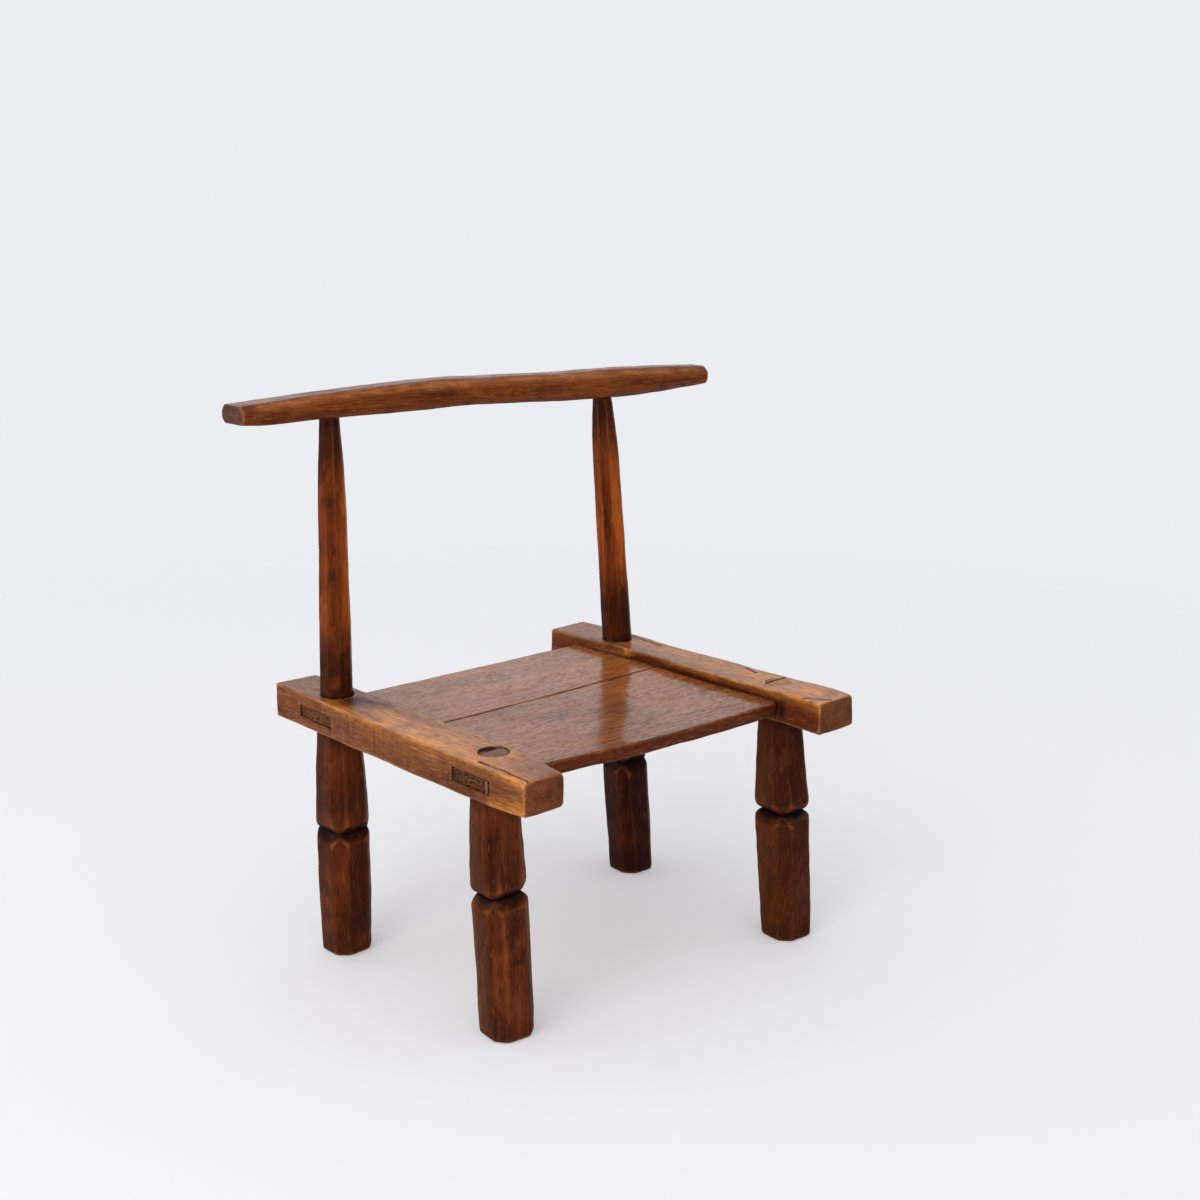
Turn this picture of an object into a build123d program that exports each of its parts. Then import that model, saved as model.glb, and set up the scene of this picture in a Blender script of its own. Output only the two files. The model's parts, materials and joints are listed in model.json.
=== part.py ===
from build123d import *
from dataclasses import dataclass
import math
import os

# A low carved chair, in millimetres. +Z is up, +X is to the right of someone who faces the
# front of the chair, and +Y points to its back. The pieces are laid out about the middle of the
# seat frame and then moved together, so that the origin ends up on the floor under the middle
# of the chair's overall box.

# Seat frame: two side rails that lie front to back, level with each other at the rear
frame_width = 423.5             # over the outer faces of the two rails
left_rail_top = 279.0           # height of the left rail's top above the floor
left_rail_length = 395.0
left_rail_height = 35.0
left_rail_rear_width = 50.0
left_rail_middle_width = 55.0
left_rail_front_width = 50.5
right_rail_drop = 3.5           # the right rail's top is lower by this
right_rail_length = 407.0
right_rail_height = 32.0
right_rail_rear_width = 60.0
right_rail_middle_width = 51.5
right_rail_front_width = 50.0
rail_edge_round = 3.2           # worn edges of the rails

# Seat planks, and the tongues on their ends that run through the rails
seat_above_underside = 7.0      # wood left in the left rail under the tongues
seat_thickness = 15.0
seat_front_lip = 10.5           # the seat runs this far in front of its foremost tongue
seat_rear_lip = 2.0
rear_board_depth_left = 136.5   # from the seat's rear edge to the split, at the left rail
rear_board_depth_right = 127.5
split_gap = 0.3                 # between the two planks
seat_edge_round = 2.5
front_edge_rise = 5.5           # the seat's front edge is thinned from below by this
front_edge_run = 9.0            # over this depth, front to back
tongue_width = 58.0
tongue_recess = 0.6             # end grain of a tongue, in from the rail's outer face
front_left_tongue_shift = -11.0    # middle of the tongue, from the tenon that pins it
front_right_tongue_shift = 2.0
rear_left_tongue_shift = -7.5
rear_right_tongue_shift = 7.5

# Wedges on the front side of each seat tongue
seat_wedge_length = 34.0
seat_wedge_thick_end = 3.4
seat_wedge_thin_end = 1.2

# Round tenons on the legs and posts
joint_clearance = 0.15          # between a piece and the hole or slot that holds it
front_tenon_radius = 14.0
rear_tenon_radius = 16.8
tenon_recess = 0.8              # front tenons end this far under the rail's top
leg_wedge_depth = 24.0          # how far the crescent wedge is driven in
leg_wedge_thick_end = 5.5
leg_wedge_thin_end = 1.0

# Where the tenons pass the rails' tops: in from the rail's outer face and from its nearer end
front_left_inset = 34.0
front_left_setback = 83.5
front_right_inset = 21.5
front_right_setback = 82.5
rear_left_inset = 26.5
rear_left_setback = 70.0
rear_right_inset = 28.5
rear_right_setback = 85.0

# Lean: from the tenon to the foot, and from the tenon to the post's top
front_left_foot_x = 8.5
front_left_foot_y = -4.5
front_right_foot_x = 3.0
front_right_foot_y = -19.5
rear_left_foot_x = 7.0
rear_left_foot_y = 7.0
rear_right_foot_x = 7.5
rear_right_foot_y = -18.5
left_post_top_x = 3.5
left_post_top_y = 4.7
right_post_top_x = -16.2
right_post_top_y = 10.1

# Hewn legs: an eight-sided section, with a V cut all round at the waist
foot_bevel = 3.0
shoulder_half = 21.6            # under the rail
corner_flat_extra = 0.8         # half across the corner flats is larger by this
vee_height = 9.0                # from the bottom of the V to each of its edges
front_left_waist = 143.5        # height of the V above the floor
front_right_waist = 138.5
rear_left_waist = 136.5
rear_right_waist = 134.5
front_left_foot_half = 24.0     # half across the main flats, at the foot
front_right_foot_half = 25.5
rear_left_foot_half = 23.6
rear_right_foot_half = 23.6
front_left_shin_half = 24.9     # just below the V
front_right_shin_half = 27.5
rear_left_shin_half = 25.8
rear_right_shin_half = 24.4
front_left_waist_half = 14.2    # half of the square section that the V leaves
front_right_waist_half = 15.2
rear_left_waist_half = 17.6
rear_right_waist_half = 16.6
front_left_belly_half = 24.8    # just above the V
front_right_belly_half = 26.8
rear_left_belly_half = 26.0
rear_right_belly_half = 24.8
front_left_twist = -6.0         # turn of the leg about its own axis, in degrees
front_right_twist = -4.0
rear_left_twist = 3.0
rear_right_twist = -3.0

# Back posts above the rails, eight-sided
post_middle_half = 14.3
post_neck_half = 12.6
post_neck_drop = 52.0           # from the crest's underside down to the neck
post_top_half = 8.8
crest_tenon_shoulder = 0.6      # step from the post's top in to its round tenon
crest_shoulder_gap = 0.6        # between that step and the crest, which the post meets askew
crest_tenon_length = 14.0

# Crest rail
crest_left_end_z = 569.0        # height of the crest's axis above the floor
crest_right_end_z = 567.0
crest_arch = 2.0                # its middle is higher than a straight line by this
crest_sway = 2.4                # then its left half is higher, and its right half lower, by this
crest_left_overhang = 105.0     # beyond the left post
crest_right_overhang = 148.7
crest_middle_height = 30.6
crest_left_end_height = 17.5
crest_right_end_height = 20.5
crest_middle_depth = 42.0
crest_end_depth = 34.0
crest_end_bevel = 2.0

# Shares and counts that set the forms
crest_swell = 3.2               # the larger, the longer the crest keeps its full size
crest_corner_share = 0.3        # width taken off each corner of the crest, as a share of its height
crest_spans = 8                 # spans between the sections of the crest
sides = 8                       # flats of a hewn section
far = 1000.0                    # longer than the chair, for trimming solids

rail_rear = max(left_rail_length, right_rail_length) / 2
post_base_half = rear_tenon_radius * math.cos(math.pi / sides)
crest_pin_radius = post_top_half - crest_tenon_shoulder
seat_bottom = left_rail_top - left_rail_height + seat_above_underside
seat_top = seat_bottom + seat_thickness


@dataclass
class Rail:
    """A side rail. side is -1 for the left and 1 for the right."""
    side: int
    top: float
    length: float
    height: float
    rear_width: float
    middle_width: float
    front_width: float

    def __post_init__(self):
        self.outer = self.side * frame_width / 2
        self.underside = self.top - self.height
        self.front = rail_rear - self.length

    def seat_face(self):
        """X of the middle of the face that looks at the seat."""
        return self.outer - self.side * self.middle_width


@dataclass
class Stick:
    """A leg, or a leg and back post in one. tenon, foot and head are points on its axis."""
    rail: Rail
    inset: float
    station: float
    tenon_radius: float
    foot_x: float
    foot_y: float
    waist: float
    foot_half: float
    shin_half: float
    waist_half: float
    belly_half: float
    twist: float
    tongue_shift: float

    def __post_init__(self):
        x = self.rail.outer - self.rail.side * self.inset
        self.tenon = Vector(x, self.station, self.rail.top)
        self.foot = Vector(x + self.foot_x, self.station + self.foot_y, 0)
        self.tenon_direction = (self.tenon - self.foot).normalized()
        self.tongue_front = self.station + self.tongue_shift - tongue_width / 2

    def reach_crest(self, top_x, top_y, underside):
        """Carries the axis on from the tenon to the underside of the crest."""
        self.head = Vector(self.tenon.X + top_x, self.tenon.Y + top_y, underside)
        self.tenon_direction = (self.head - self.tenon).normalized()


left_rail = Rail(
    -1, left_rail_top, left_rail_length, left_rail_height,
    left_rail_rear_width, left_rail_middle_width, left_rail_front_width,
)
right_rail = Rail(
    1, left_rail_top - right_rail_drop, right_rail_length, right_rail_height,
    right_rail_rear_width, right_rail_middle_width, right_rail_front_width,
)
front_left = Stick(
    left_rail, front_left_inset, left_rail.front + front_left_setback, front_tenon_radius,
    front_left_foot_x, front_left_foot_y, front_left_waist, front_left_foot_half,
    front_left_shin_half, front_left_waist_half, front_left_belly_half,
    front_left_twist, front_left_tongue_shift,
)
front_right = Stick(
    right_rail, front_right_inset, right_rail.front + front_right_setback, front_tenon_radius,
    front_right_foot_x, front_right_foot_y, front_right_waist, front_right_foot_half,
    front_right_shin_half, front_right_waist_half, front_right_belly_half,
    front_right_twist, front_right_tongue_shift,
)
rear_left = Stick(
    left_rail, rear_left_inset, rail_rear - rear_left_setback, rear_tenon_radius,
    rear_left_foot_x, rear_left_foot_y, rear_left_waist, rear_left_foot_half,
    rear_left_shin_half, rear_left_waist_half, rear_left_belly_half,
    rear_left_twist, rear_left_tongue_shift,
)
rear_right = Stick(
    right_rail, rear_right_inset, rail_rear - rear_right_setback, rear_tenon_radius,
    rear_right_foot_x, rear_right_foot_y, rear_right_waist, rear_right_foot_half,
    rear_right_shin_half, rear_right_waist_half, rear_right_belly_half,
    rear_right_twist, rear_right_tongue_shift,
)

# The crest's axis runs level through the two post tops and beyond them
left_top = Vector(rear_left.tenon.X + left_post_top_x, rear_left.tenon.Y + left_post_top_y)
right_top = Vector(rear_right.tenon.X + right_post_top_x, rear_right.tenon.Y + right_post_top_y)
crest_direction = (right_top - left_top).normalized()
crest_start = left_top - crest_direction * crest_left_overhang
crest_length = (right_top - left_top).length + crest_left_overhang + crest_right_overhang


def crest_fullness(share):
    """1 in the middle of the crest, 0 at its ends."""
    return 1 - abs(2 * share - 1) ** crest_swell


def crest_height(share):
    end = crest_left_end_height + (crest_right_end_height - crest_left_end_height) * share
    return end + (crest_middle_height - end) * crest_fullness(share)


def crest_depth(share):
    return crest_end_depth + (crest_middle_depth - crest_end_depth) * crest_fullness(share)


def crest_z(share):
    line = crest_left_end_z + (crest_right_end_z - crest_left_end_z) * share
    return line + crest_arch * math.sin(math.pi * share) + crest_sway * math.sin(2 * math.pi * share)


def crest_underside(share):
    return crest_z(share) - crest_height(share) / 2


left_share = crest_left_overhang / crest_length
right_share = 1 - crest_right_overhang / crest_length
rear_left.reach_crest(left_post_top_x, left_post_top_y, crest_underside(left_share))
rear_right.reach_crest(right_post_top_x, right_post_top_y, crest_underside(right_share))


def slab(low, high):
    """Everything between two heights."""
    return Pos(0, 0, (low + high) / 2) * Box(far, far, high - low)


def along(origin, direction, twist=0.0):
    """A plane whose normal is the direction, with its y axis towards the chair's back."""
    across = Vector(0, 1, 0).cross(direction).normalized()
    return Plane(origin=origin, x_dir=across, z_dir=direction).rotated((0, 0, twist))


def rod(stick, radius, low, high):
    """A rod on the axis of a stick's tenon, between two heights."""
    whole = extrude(Circle(radius), far / 2, both=True)
    return (along(stick.tenon, stick.tenon_direction).location * whole) & slab(low, high)


def tenon_hole(stick):
    return rod(stick, stick.tenon_radius + joint_clearance, 0, 2 * stick.rail.top)


# Side rails

def rail_plan(rail, grow=0.0):
    """A rail from above: straight on the outside, a shallow arc on the seat's side."""
    outer = rail.outer + rail.side * grow
    rear = rail_rear + grow
    front = rail.front - grow
    inner = [
        rail.outer - rail.side * (width + grow)
        for width in (rail.rear_width, rail.middle_width, rail.front_width)
    ]
    seat_side = ThreePointArc((inner[0], rear), (inner[1], (rear + front) / 2), (inner[2], front))
    others = Polyline((inner[2], front), (outer, front), (outer, rear), (inner[0], rear))
    return make_face(Curve() + [seat_side, others])


def tongue_slot(stick):
    """The slot through a rail for a seat tongue, with room for the wedge on its front side."""
    depth = tongue_width + 2 * joint_clearance
    slot = Pos(stick.rail.outer, stick.tongue_front + tongue_width / 2, (seat_bottom + seat_top) / 2)
    slot *= Box(frame_width / 2, depth, seat_thickness + 2 * joint_clearance)
    return slot + seat_wedge(stick, joint_clearance)


def side_rail(rail, sticks):
    blank = Pos(0, 0, rail.underside) * extrude(rail_plan(rail), rail.height)
    solid = fillet(blank.edges(), rail_edge_round)
    for stick in sticks:
        solid -= tongue_slot(stick)
        solid -= tenon_hole(stick)
    return solid


# Seat planks

def tongue(stick):
    """A tongue from inside the plank to just short of the rail's outer face."""
    length = stick.rail.rear_width + stick.rail.middle_width - tongue_recess
    x = stick.rail.outer - stick.rail.side * (tongue_recess + length / 2)
    y = stick.tongue_front + tongue_width / 2
    return Pos(x, y, (seat_bottom + seat_top) / 2) * Box(length, tongue_width, seat_thickness)


def plank(corners):
    return Pos(0, 0, seat_bottom) * extrude(make_face(Polyline(*corners, close=True)), seat_thickness)


def front_slope(front_y):
    """The wood that is taken off under the seat's front edge."""
    view = Polyline(
        (front_y, seat_bottom), (front_y + front_edge_run, seat_bottom),
        (front_y, seat_bottom + front_edge_rise), close=True,
    )
    return extrude(Plane.YZ * make_face(view), frame_width, both=True)


def seat_board(blank, sticks):
    """A plank fitted between the rails, with a tongue round each of two tenons."""
    solid = fillet(blank.edges().filter_by(Axis.X), seat_edge_round)
    for stick in sticks:
        rail_space = Pos(0, 0, seat_bottom) * extrude(
            rail_plan(stick.rail, joint_clearance), seat_thickness
        )
        solid -= rail_space
    for stick in sticks:
        solid += tongue(stick)
    for stick in sticks:
        solid -= tenon_hole(stick)
    return solid


def seat_planks():
    front_y = min(front_left.tongue_front, front_right.tongue_front) - seat_front_lip
    rear_y = max(rear_left.tongue_front, rear_right.tongue_front) + tongue_width + seat_rear_lip
    left, right = left_rail.seat_face(), right_rail.seat_face()
    slope = (rear_board_depth_left - rear_board_depth_right) / (right - left)
    outer_left, outer_right = left_rail.outer, right_rail.outer
    split_left = rear_y - rear_board_depth_left + slope * (outer_left - left)
    split_right = rear_y - rear_board_depth_right + slope * (outer_right - right)
    front = [
        (outer_left, front_y), (outer_right, front_y),
        (outer_right, split_right - split_gap), (outer_left, split_left - split_gap),
    ]
    rear = [
        (outer_left, split_left), (outer_right, split_right),
        (outer_right, rear_y), (outer_left, rear_y),
    ]
    front_board = seat_board(plank(front) - front_slope(front_y), (front_left, front_right))
    return front_board, seat_board(plank(rear), (rear_left, rear_right))


def seat_wedge(stick, grow=0.0):
    """A taper on the front side of a seat tongue, thick at the rail's outer face."""
    side = stick.rail.side
    taper = (seat_wedge_thick_end - seat_wedge_thin_end) / seat_wedge_length
    thick_end = stick.rail.outer - side * tongue_recess
    beyond = seat_wedge_thick_end if grow else 0.0    # a slot runs out through the rail's face
    y = stick.tongue_front
    plan = Polyline(
        (thick_end + side * beyond, y),
        (thick_end + side * beyond, y - seat_wedge_thick_end - taper * beyond - grow),
        (thick_end - side * (seat_wedge_length + grow), y - seat_wedge_thin_end + taper * grow - grow),
        (thick_end - side * (seat_wedge_length + grow), y),
        close=True,
    )
    thickness = seat_thickness + 2 * grow
    return Pos(0, 0, seat_bottom - grow) * extrude(make_face(plan), thickness)


# Legs and back posts

def mirrored(edges):
    """Closes a half outline that starts and ends on the vertical axis."""
    half = Curve() + edges
    return make_face(half + mirror(half, Plane.YZ))


def hewn(flat_outline, corner_outline, plane):
    """Eight-sided solid: side views pushed through at each flat, kept where they all meet."""
    solid = None
    for flat in range(sides // 2):
        outline = corner_outline if flat % 2 else flat_outline
        push = Rot(0, 0, flat * 360 / sides) * extrude(Plane.XZ * outline, far / 2, both=True)
        solid = push if solid is None else solid & push
    return plane.location * solid


def leg_outline(stick, extra, waist_half, length):
    """Side view of a leg: bevelled foot, straight shin, V, then a barrel up to the shoulder."""
    foot = stick.foot_half + extra
    shin = stick.shin_half + extra
    belly = stick.belly_half + extra
    shoulder = shoulder_half + extra
    belly_z = stick.waist + vee_height
    barrel_z = (belly_z + length) / 2
    barrel = (3 * belly + shoulder) / 4
    lower = Polyline(
        (0, -foot_bevel), (foot - foot_bevel, -foot_bevel), (foot, foot_bevel),
        (shin, stick.waist - vee_height), (waist_half, stick.waist), (belly, belly_z),
    )
    upper = Spline((belly, belly_z), (barrel, barrel_z), (shoulder, length))
    return mirrored([lower, upper, Line((shoulder, length), (0, length))])


def leg_body(stick):
    """The hewn leg, cut level at the floor and under the rail."""
    axis = stick.tenon - stick.foot
    flats = leg_outline(stick, 0.0, stick.waist_half, axis.length)
    corners = leg_outline(stick, corner_flat_extra, stick.waist_half * math.sqrt(2), axis.length)
    solid = hewn(flats, corners, along(stick.foot, axis.normalized(), stick.twist))
    return solid & slab(0, stick.rail.underside)


def leg_wedge_space(stick):
    """The part of a front tenon, on its rear side, that its crescent wedge takes."""
    slope = (leg_wedge_thick_end - leg_wedge_thin_end) / leg_wedge_depth
    flat_y = stick.tenon_radius - leg_wedge_thick_end
    above = outside = 2 * stick.tenon_radius
    view = Polyline(
        (outside, above), (flat_y - slope * above, above),
        (flat_y + slope * leg_wedge_depth, -leg_wedge_depth), (outside, -leg_wedge_depth), close=True,
    )
    push = extrude(Plane.YZ * make_face(view), outside, both=True)
    return along(stick.tenon, stick.tenon_direction).location * push


def front_tenon(stick):
    low = stick.rail.underside - stick.rail.height
    return rod(stick, stick.tenon_radius, low, stick.rail.top - tenon_recess)


def front_leg(stick):
    return leg_body(stick) + (front_tenon(stick) - leg_wedge_space(stick))


def leg_wedge(stick):
    return front_tenon(stick) & leg_wedge_space(stick)


def post_outline(length):
    """Side view of a post: a long swell up to the neck, then a quick taper."""
    neck_z = length - post_neck_drop
    root = -crest_tenon_length
    side = Spline(
        (post_base_half, 0), (post_middle_half, neck_z / 2), (post_neck_half, neck_z),
        (post_top_half, length),
    )
    root_edges = Polyline((0, root), (post_base_half, root), (post_base_half, 0))
    return mirrored([root_edges, side, Line((post_top_half, length), (0, length))])


def back_post(stick):
    """Leg, tenon through the rail, post and crest tenon, in one piece."""
    length = (stick.head - stick.tenon).length
    outline = post_outline(length - crest_shoulder_gap)
    post = hewn(outline, outline, along(stick.tenon, stick.tenon_direction))
    low = stick.rail.underside - stick.rail.height
    through = rod(stick, stick.tenon_radius, low, stick.rail.top)
    pin = rod(stick, crest_pin_radius, stick.head.Z - crest_tenon_length, stick.head.Z + crest_tenon_length)
    return leg_body(stick) + through + post + pin


def crest_mortise(stick):
    """Blind hole for a post's top tenon."""
    top = stick.head.Z + crest_tenon_length + joint_clearance
    return rod(stick, crest_pin_radius + joint_clearance, stick.head.Z - crest_middle_height, top)


def crest_section(share, bevel=0.0):
    """The crest cut across at a share of its length, eight-sided, and smaller all round by a bevel."""
    centre = crest_start + crest_direction * (crest_length * share)
    plane = Plane(
        origin=(centre.X, centre.Y, crest_z(share)),
        x_dir=Vector(0, 0, 1).cross(crest_direction), z_dir=crest_direction,
    )
    height = crest_height(share) - 2 * bevel
    blank = Rectangle(crest_depth(share) - 2 * bevel, height)
    return plane * chamfer(blank.vertices(), crest_corner_share * height)


def crest_rail():
    """A smooth body along a slightly arched line, full in the middle, with two bevelled ends."""
    first = crest_end_bevel / crest_length
    last = 1 - first
    shares = [first + (last - first) * step / crest_spans for step in range(crest_spans + 1)]
    body = loft([crest_section(share) for share in shares])
    left_end = loft([crest_section(0, crest_end_bevel), crest_section(first)], ruled=True)
    right_end = loft([crest_section(last), crest_section(1, crest_end_bevel)], ruled=True)
    return left_end + body + right_end - crest_mortise(rear_left) - crest_mortise(rear_right)


def build_chair():
    seat_front_board, seat_rear_board = seat_planks()
    return {
        "left_side_rail": side_rail(left_rail, (front_left, rear_left)),
        "right_side_rail": side_rail(right_rail, (front_right, rear_right)),
        "seat_front_board": seat_front_board,
        "seat_rear_board": seat_rear_board,
        "front_left_leg": front_leg(front_left),
        "front_right_leg": front_leg(front_right),
        "left_back_post": back_post(rear_left),
        "right_back_post": back_post(rear_right),
        "crest_rail": crest_rail(),
        "front_left_leg_wedge": leg_wedge(front_left),
        "front_right_leg_wedge": leg_wedge(front_right),
        "left_front_seat_wedge": seat_wedge(front_left),
        "left_rear_seat_wedge": seat_wedge(rear_left),
        "right_front_seat_wedge": seat_wedge(front_right),
        "right_rear_seat_wedge": seat_wedge(rear_right),
    }


def write_parts(pieces):
    """Puts the origin under the middle of the overall box and writes one file for each piece."""
    os.makedirs("parts", exist_ok=True)
    boxes = [solid.bounding_box() for solid in pieces.values()]
    middle_x = (min(box.min.X for box in boxes) + max(box.max.X for box in boxes)) / 2
    middle_y = (min(box.min.Y for box in boxes) + max(box.max.Y for box in boxes)) / 2
    for name, solid in pieces.items():
        export_step(Pos(-middle_x, -middle_y, 0) * solid, f"parts/{name}.step")


write_parts(build_chair())
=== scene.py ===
import bmesh
import bpy
import json
import math
import numpy as np
from mathutils import Matrix, Vector, noise


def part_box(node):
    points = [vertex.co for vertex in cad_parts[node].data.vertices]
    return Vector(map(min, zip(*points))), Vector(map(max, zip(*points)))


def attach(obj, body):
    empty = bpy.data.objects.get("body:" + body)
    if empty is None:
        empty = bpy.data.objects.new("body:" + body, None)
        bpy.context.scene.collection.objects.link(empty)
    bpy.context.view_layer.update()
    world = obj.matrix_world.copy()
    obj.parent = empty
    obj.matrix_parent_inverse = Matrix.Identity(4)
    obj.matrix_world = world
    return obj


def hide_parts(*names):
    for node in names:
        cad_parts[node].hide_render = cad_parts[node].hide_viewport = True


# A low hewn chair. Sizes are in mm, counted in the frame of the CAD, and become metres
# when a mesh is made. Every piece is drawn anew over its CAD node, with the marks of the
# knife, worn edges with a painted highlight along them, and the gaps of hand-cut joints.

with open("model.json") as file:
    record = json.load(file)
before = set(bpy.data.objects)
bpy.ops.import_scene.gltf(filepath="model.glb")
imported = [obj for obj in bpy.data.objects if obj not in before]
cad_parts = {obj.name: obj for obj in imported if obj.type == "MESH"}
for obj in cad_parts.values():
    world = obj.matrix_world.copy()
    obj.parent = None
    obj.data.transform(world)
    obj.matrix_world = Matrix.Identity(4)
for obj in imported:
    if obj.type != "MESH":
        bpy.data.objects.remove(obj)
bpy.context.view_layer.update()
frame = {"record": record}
mm = 0.001
print("frame loaded")


def cadPlace(node):
    low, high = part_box(node)
    return np.array(low) / mm, np.array(high) / mm


def footPlace(mountName):
    mounts = {mount["name"]: mount["pos_m"] for mount in frame["record"]["mounts"]}
    return np.array(mounts[mountName][:2]) / mm


def smoothLine(stations, at):
    # a smooth curve through pairs of place and value
    places, values = np.array(stations, float).T
    slopes = np.gradient(values, places)
    at = np.clip(at, places[0], places[-1])
    left = np.clip(np.searchsorted(places, at) - 1, 0, len(places) - 2)
    span = places[left + 1] - places[left]
    t = (at - places[left]) / span
    start = values[left] * (1 + 2 * t) + slopes[left] * span * t
    end = values[left + 1] * (3 - 2 * t) - slopes[left + 1] * span * (1 - t)
    return start * (1 - t) ** 2 + end * t ** 2


def uneven(points, size, seed):
    # soft noise from -1 to 1 at each point, with lumps of about this size
    shift = Vector((17.3 * seed, 5.1 * seed, 9.7 * seed))
    return np.array([noise.noise(Vector(point) / size + shift) for point in points])


def distanceTo(path, points):
    # from each point to a path of one or more corners
    path = np.atleast_2d(np.array(path, float))
    if len(path) == 1:
        return np.linalg.norm(points - path[0], axis=1)
    nearest = np.full(len(points), np.inf)
    for start, end in zip(path[:-1], path[1:]):
        way = end - start
        t = np.clip((points - start) @ way / (way @ way), 0, 1)
        nearest = np.minimum(nearest, np.linalg.norm(points - start - t[:, None] * way, axis=1))
    return nearest


def makePiece(name, points, faces):
    mesh = bpy.data.meshes.new(name)
    mesh.from_pydata((np.asarray(points) * mm).tolist(), [], faces)
    mesh.validate()
    shape = bmesh.new()
    shape.from_mesh(mesh)
    bmesh.ops.recalc_face_normals(shape, faces=shape.faces)
    shape.to_mesh(mesh)
    shape.free()
    piece = bpy.data.objects.new(name, mesh)
    bpy.context.scene.collection.objects.link(piece)
    return piece


def bandFaces(count, around):
    # the faces between each ring of points and the next
    faces = []
    for row in range(0, (count - 1) * around, around):
        for a in range(around):
            b = (a + 1) % around
            faces.append((row + a, row + b, row + around + b, row + around + a))
    return faces


def skinRings(rings, capSteps=4):
    # a closed skin over a row of rings; each end is drawn in to its middle
    rings = np.asarray(rings, float)

    def drawnIn(ring):
        middle = ring.mean(0)
        return [middle + (ring - middle) * (1 - step / capSteps) for step in range(1, capSteps)]

    rows = np.array(drawnIn(rings[0])[::-1] + list(rings) + drawnIn(rings[-1]))
    count, around = rows.shape[:2]
    faces = bandFaces(count, around)
    points = rows.reshape(-1, 3)
    bottom, top = len(points), len(points) + 1
    points = np.vstack([points, rings[0].mean(0), rings[-1].mean(0)])
    last = (count - 1) * around
    for a in range(around):
        b = (a + 1) % around
        faces.append((bottom, b, a))
        faces.append((top, last + a, last + b))
    return points, faces


def divide(half, step, rim, rimSteps=5):
    # places along one side of a block, close together near both its edges
    inner = half - rim
    middle = np.linspace(-inner, inner, max(2, round(2 * inner / step) + 1))
    edge = np.linspace(inner, half, rimSteps + 1)[1:]
    return np.concatenate([-edge[::-1], middle, edge])


def latticeBox(xs, ys, zs):
    # points and faces of a box whose sides are divided at these places
    places = (xs, ys, zs)
    lasts = [len(side) - 1 for side in places]
    known, points, faces = {}, [], []

    def corner(key):
        if key not in known:
            known[key] = len(points)
            points.append([places[axis][key[axis]] for axis in range(3)])
        return known[key]

    for axis in range(3):
        a, b = (axis + 1) % 3, (axis + 2) % 3
        for end in (0, lasts[axis]):
            for p in range(lasts[a]):
                for q in range(lasts[b]):
                    quad = []
                    for stepA, stepB in ((0, 0), (1, 0), (1, 1), (0, 1)):
                        key = [0, 0, 0]
                        key[axis], key[a], key[b] = end, p + stepA, q + stepB
                        quad.append(corner(tuple(key)))
                    faces.append(quad if end else quad[::-1])
    return np.array(points), faces


def wornBlock(size, step, edgeRound, roundVary, seed, softer=()):
    # a block with softened edges, softer still near some places; also gives outward directions
    half = np.array(size) / 2
    most = edgeRound + roundVary + max([extra for place, reach, extra in softer], default=0)
    points, faces = latticeBox(*(divide(side, step, min(most, side * 0.6)) for side in half))
    wear = edgeRound + roundVary * uneven(points, 28, seed)
    for place, reach, extra in softer:
        wear += extra * np.exp(-(distanceTo(place, points) / reach) ** 2)
    wear = np.clip(wear, 0.3, half.min() * 0.7)[:, None]
    core = np.clip(points, -(half - wear), half - wear)
    out = points - core
    out /= np.linalg.norm(out, axis=1, keepdims=True)
    return core + out * wear, out, faces


def cutAway(piece, cutters, operation="DIFFERENCE"):
    # exact boolean with each cutter in turn; the cutters are used up
    for cutter in cutters:
        change = piece.modifiers.new("cut", "BOOLEAN")
        change.operation = operation
        change.solver = "EXACT"
        change.object = cutter
    bpy.context.view_layer.update()
    result = piece.evaluated_get(bpy.context.evaluated_depsgraph_get())
    mesh = bpy.data.meshes.new_from_object(result)
    piece.modifiers.clear()
    piece.data = mesh
    for cutter in cutters:
        bpy.data.objects.remove(cutter)


def readVectors(layer, name, count):
    values = np.empty(count * 3)
    layer.foreach_get(name, values)
    return values.reshape(-1, 3)


def turning(mesh, place, normal):
    # how sharply the surface turns at each point: above zero outward, below it inward
    count = len(place)
    edges = np.empty(len(mesh.edges) * 2, np.int32)
    mesh.edges.foreach_get("vertices", edges)
    first, second = edges.reshape(-1, 2).T
    gap = place[second] - place[first]
    length = np.maximum(np.linalg.norm(gap, axis=1), 0.05)
    turn = ((normal[second] - normal[first]) * gap).sum(1) / length ** 2
    total, share = np.zeros(count), np.zeros(count)
    for end in (first, second):
        np.add.at(total, end, turn * length)
        np.add.at(share, end, length)
    turn = total / np.maximum(share, 1e-6)
    for _ in range(2):         # evened out with the points next to it
        total, share = turn.copy(), np.ones(count)
        for a, b in ((first, second), (second, first)):
            np.add.at(total, a, turn[b])
            np.add.at(share, a, 1)
        turn = total / share
    return turn


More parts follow.
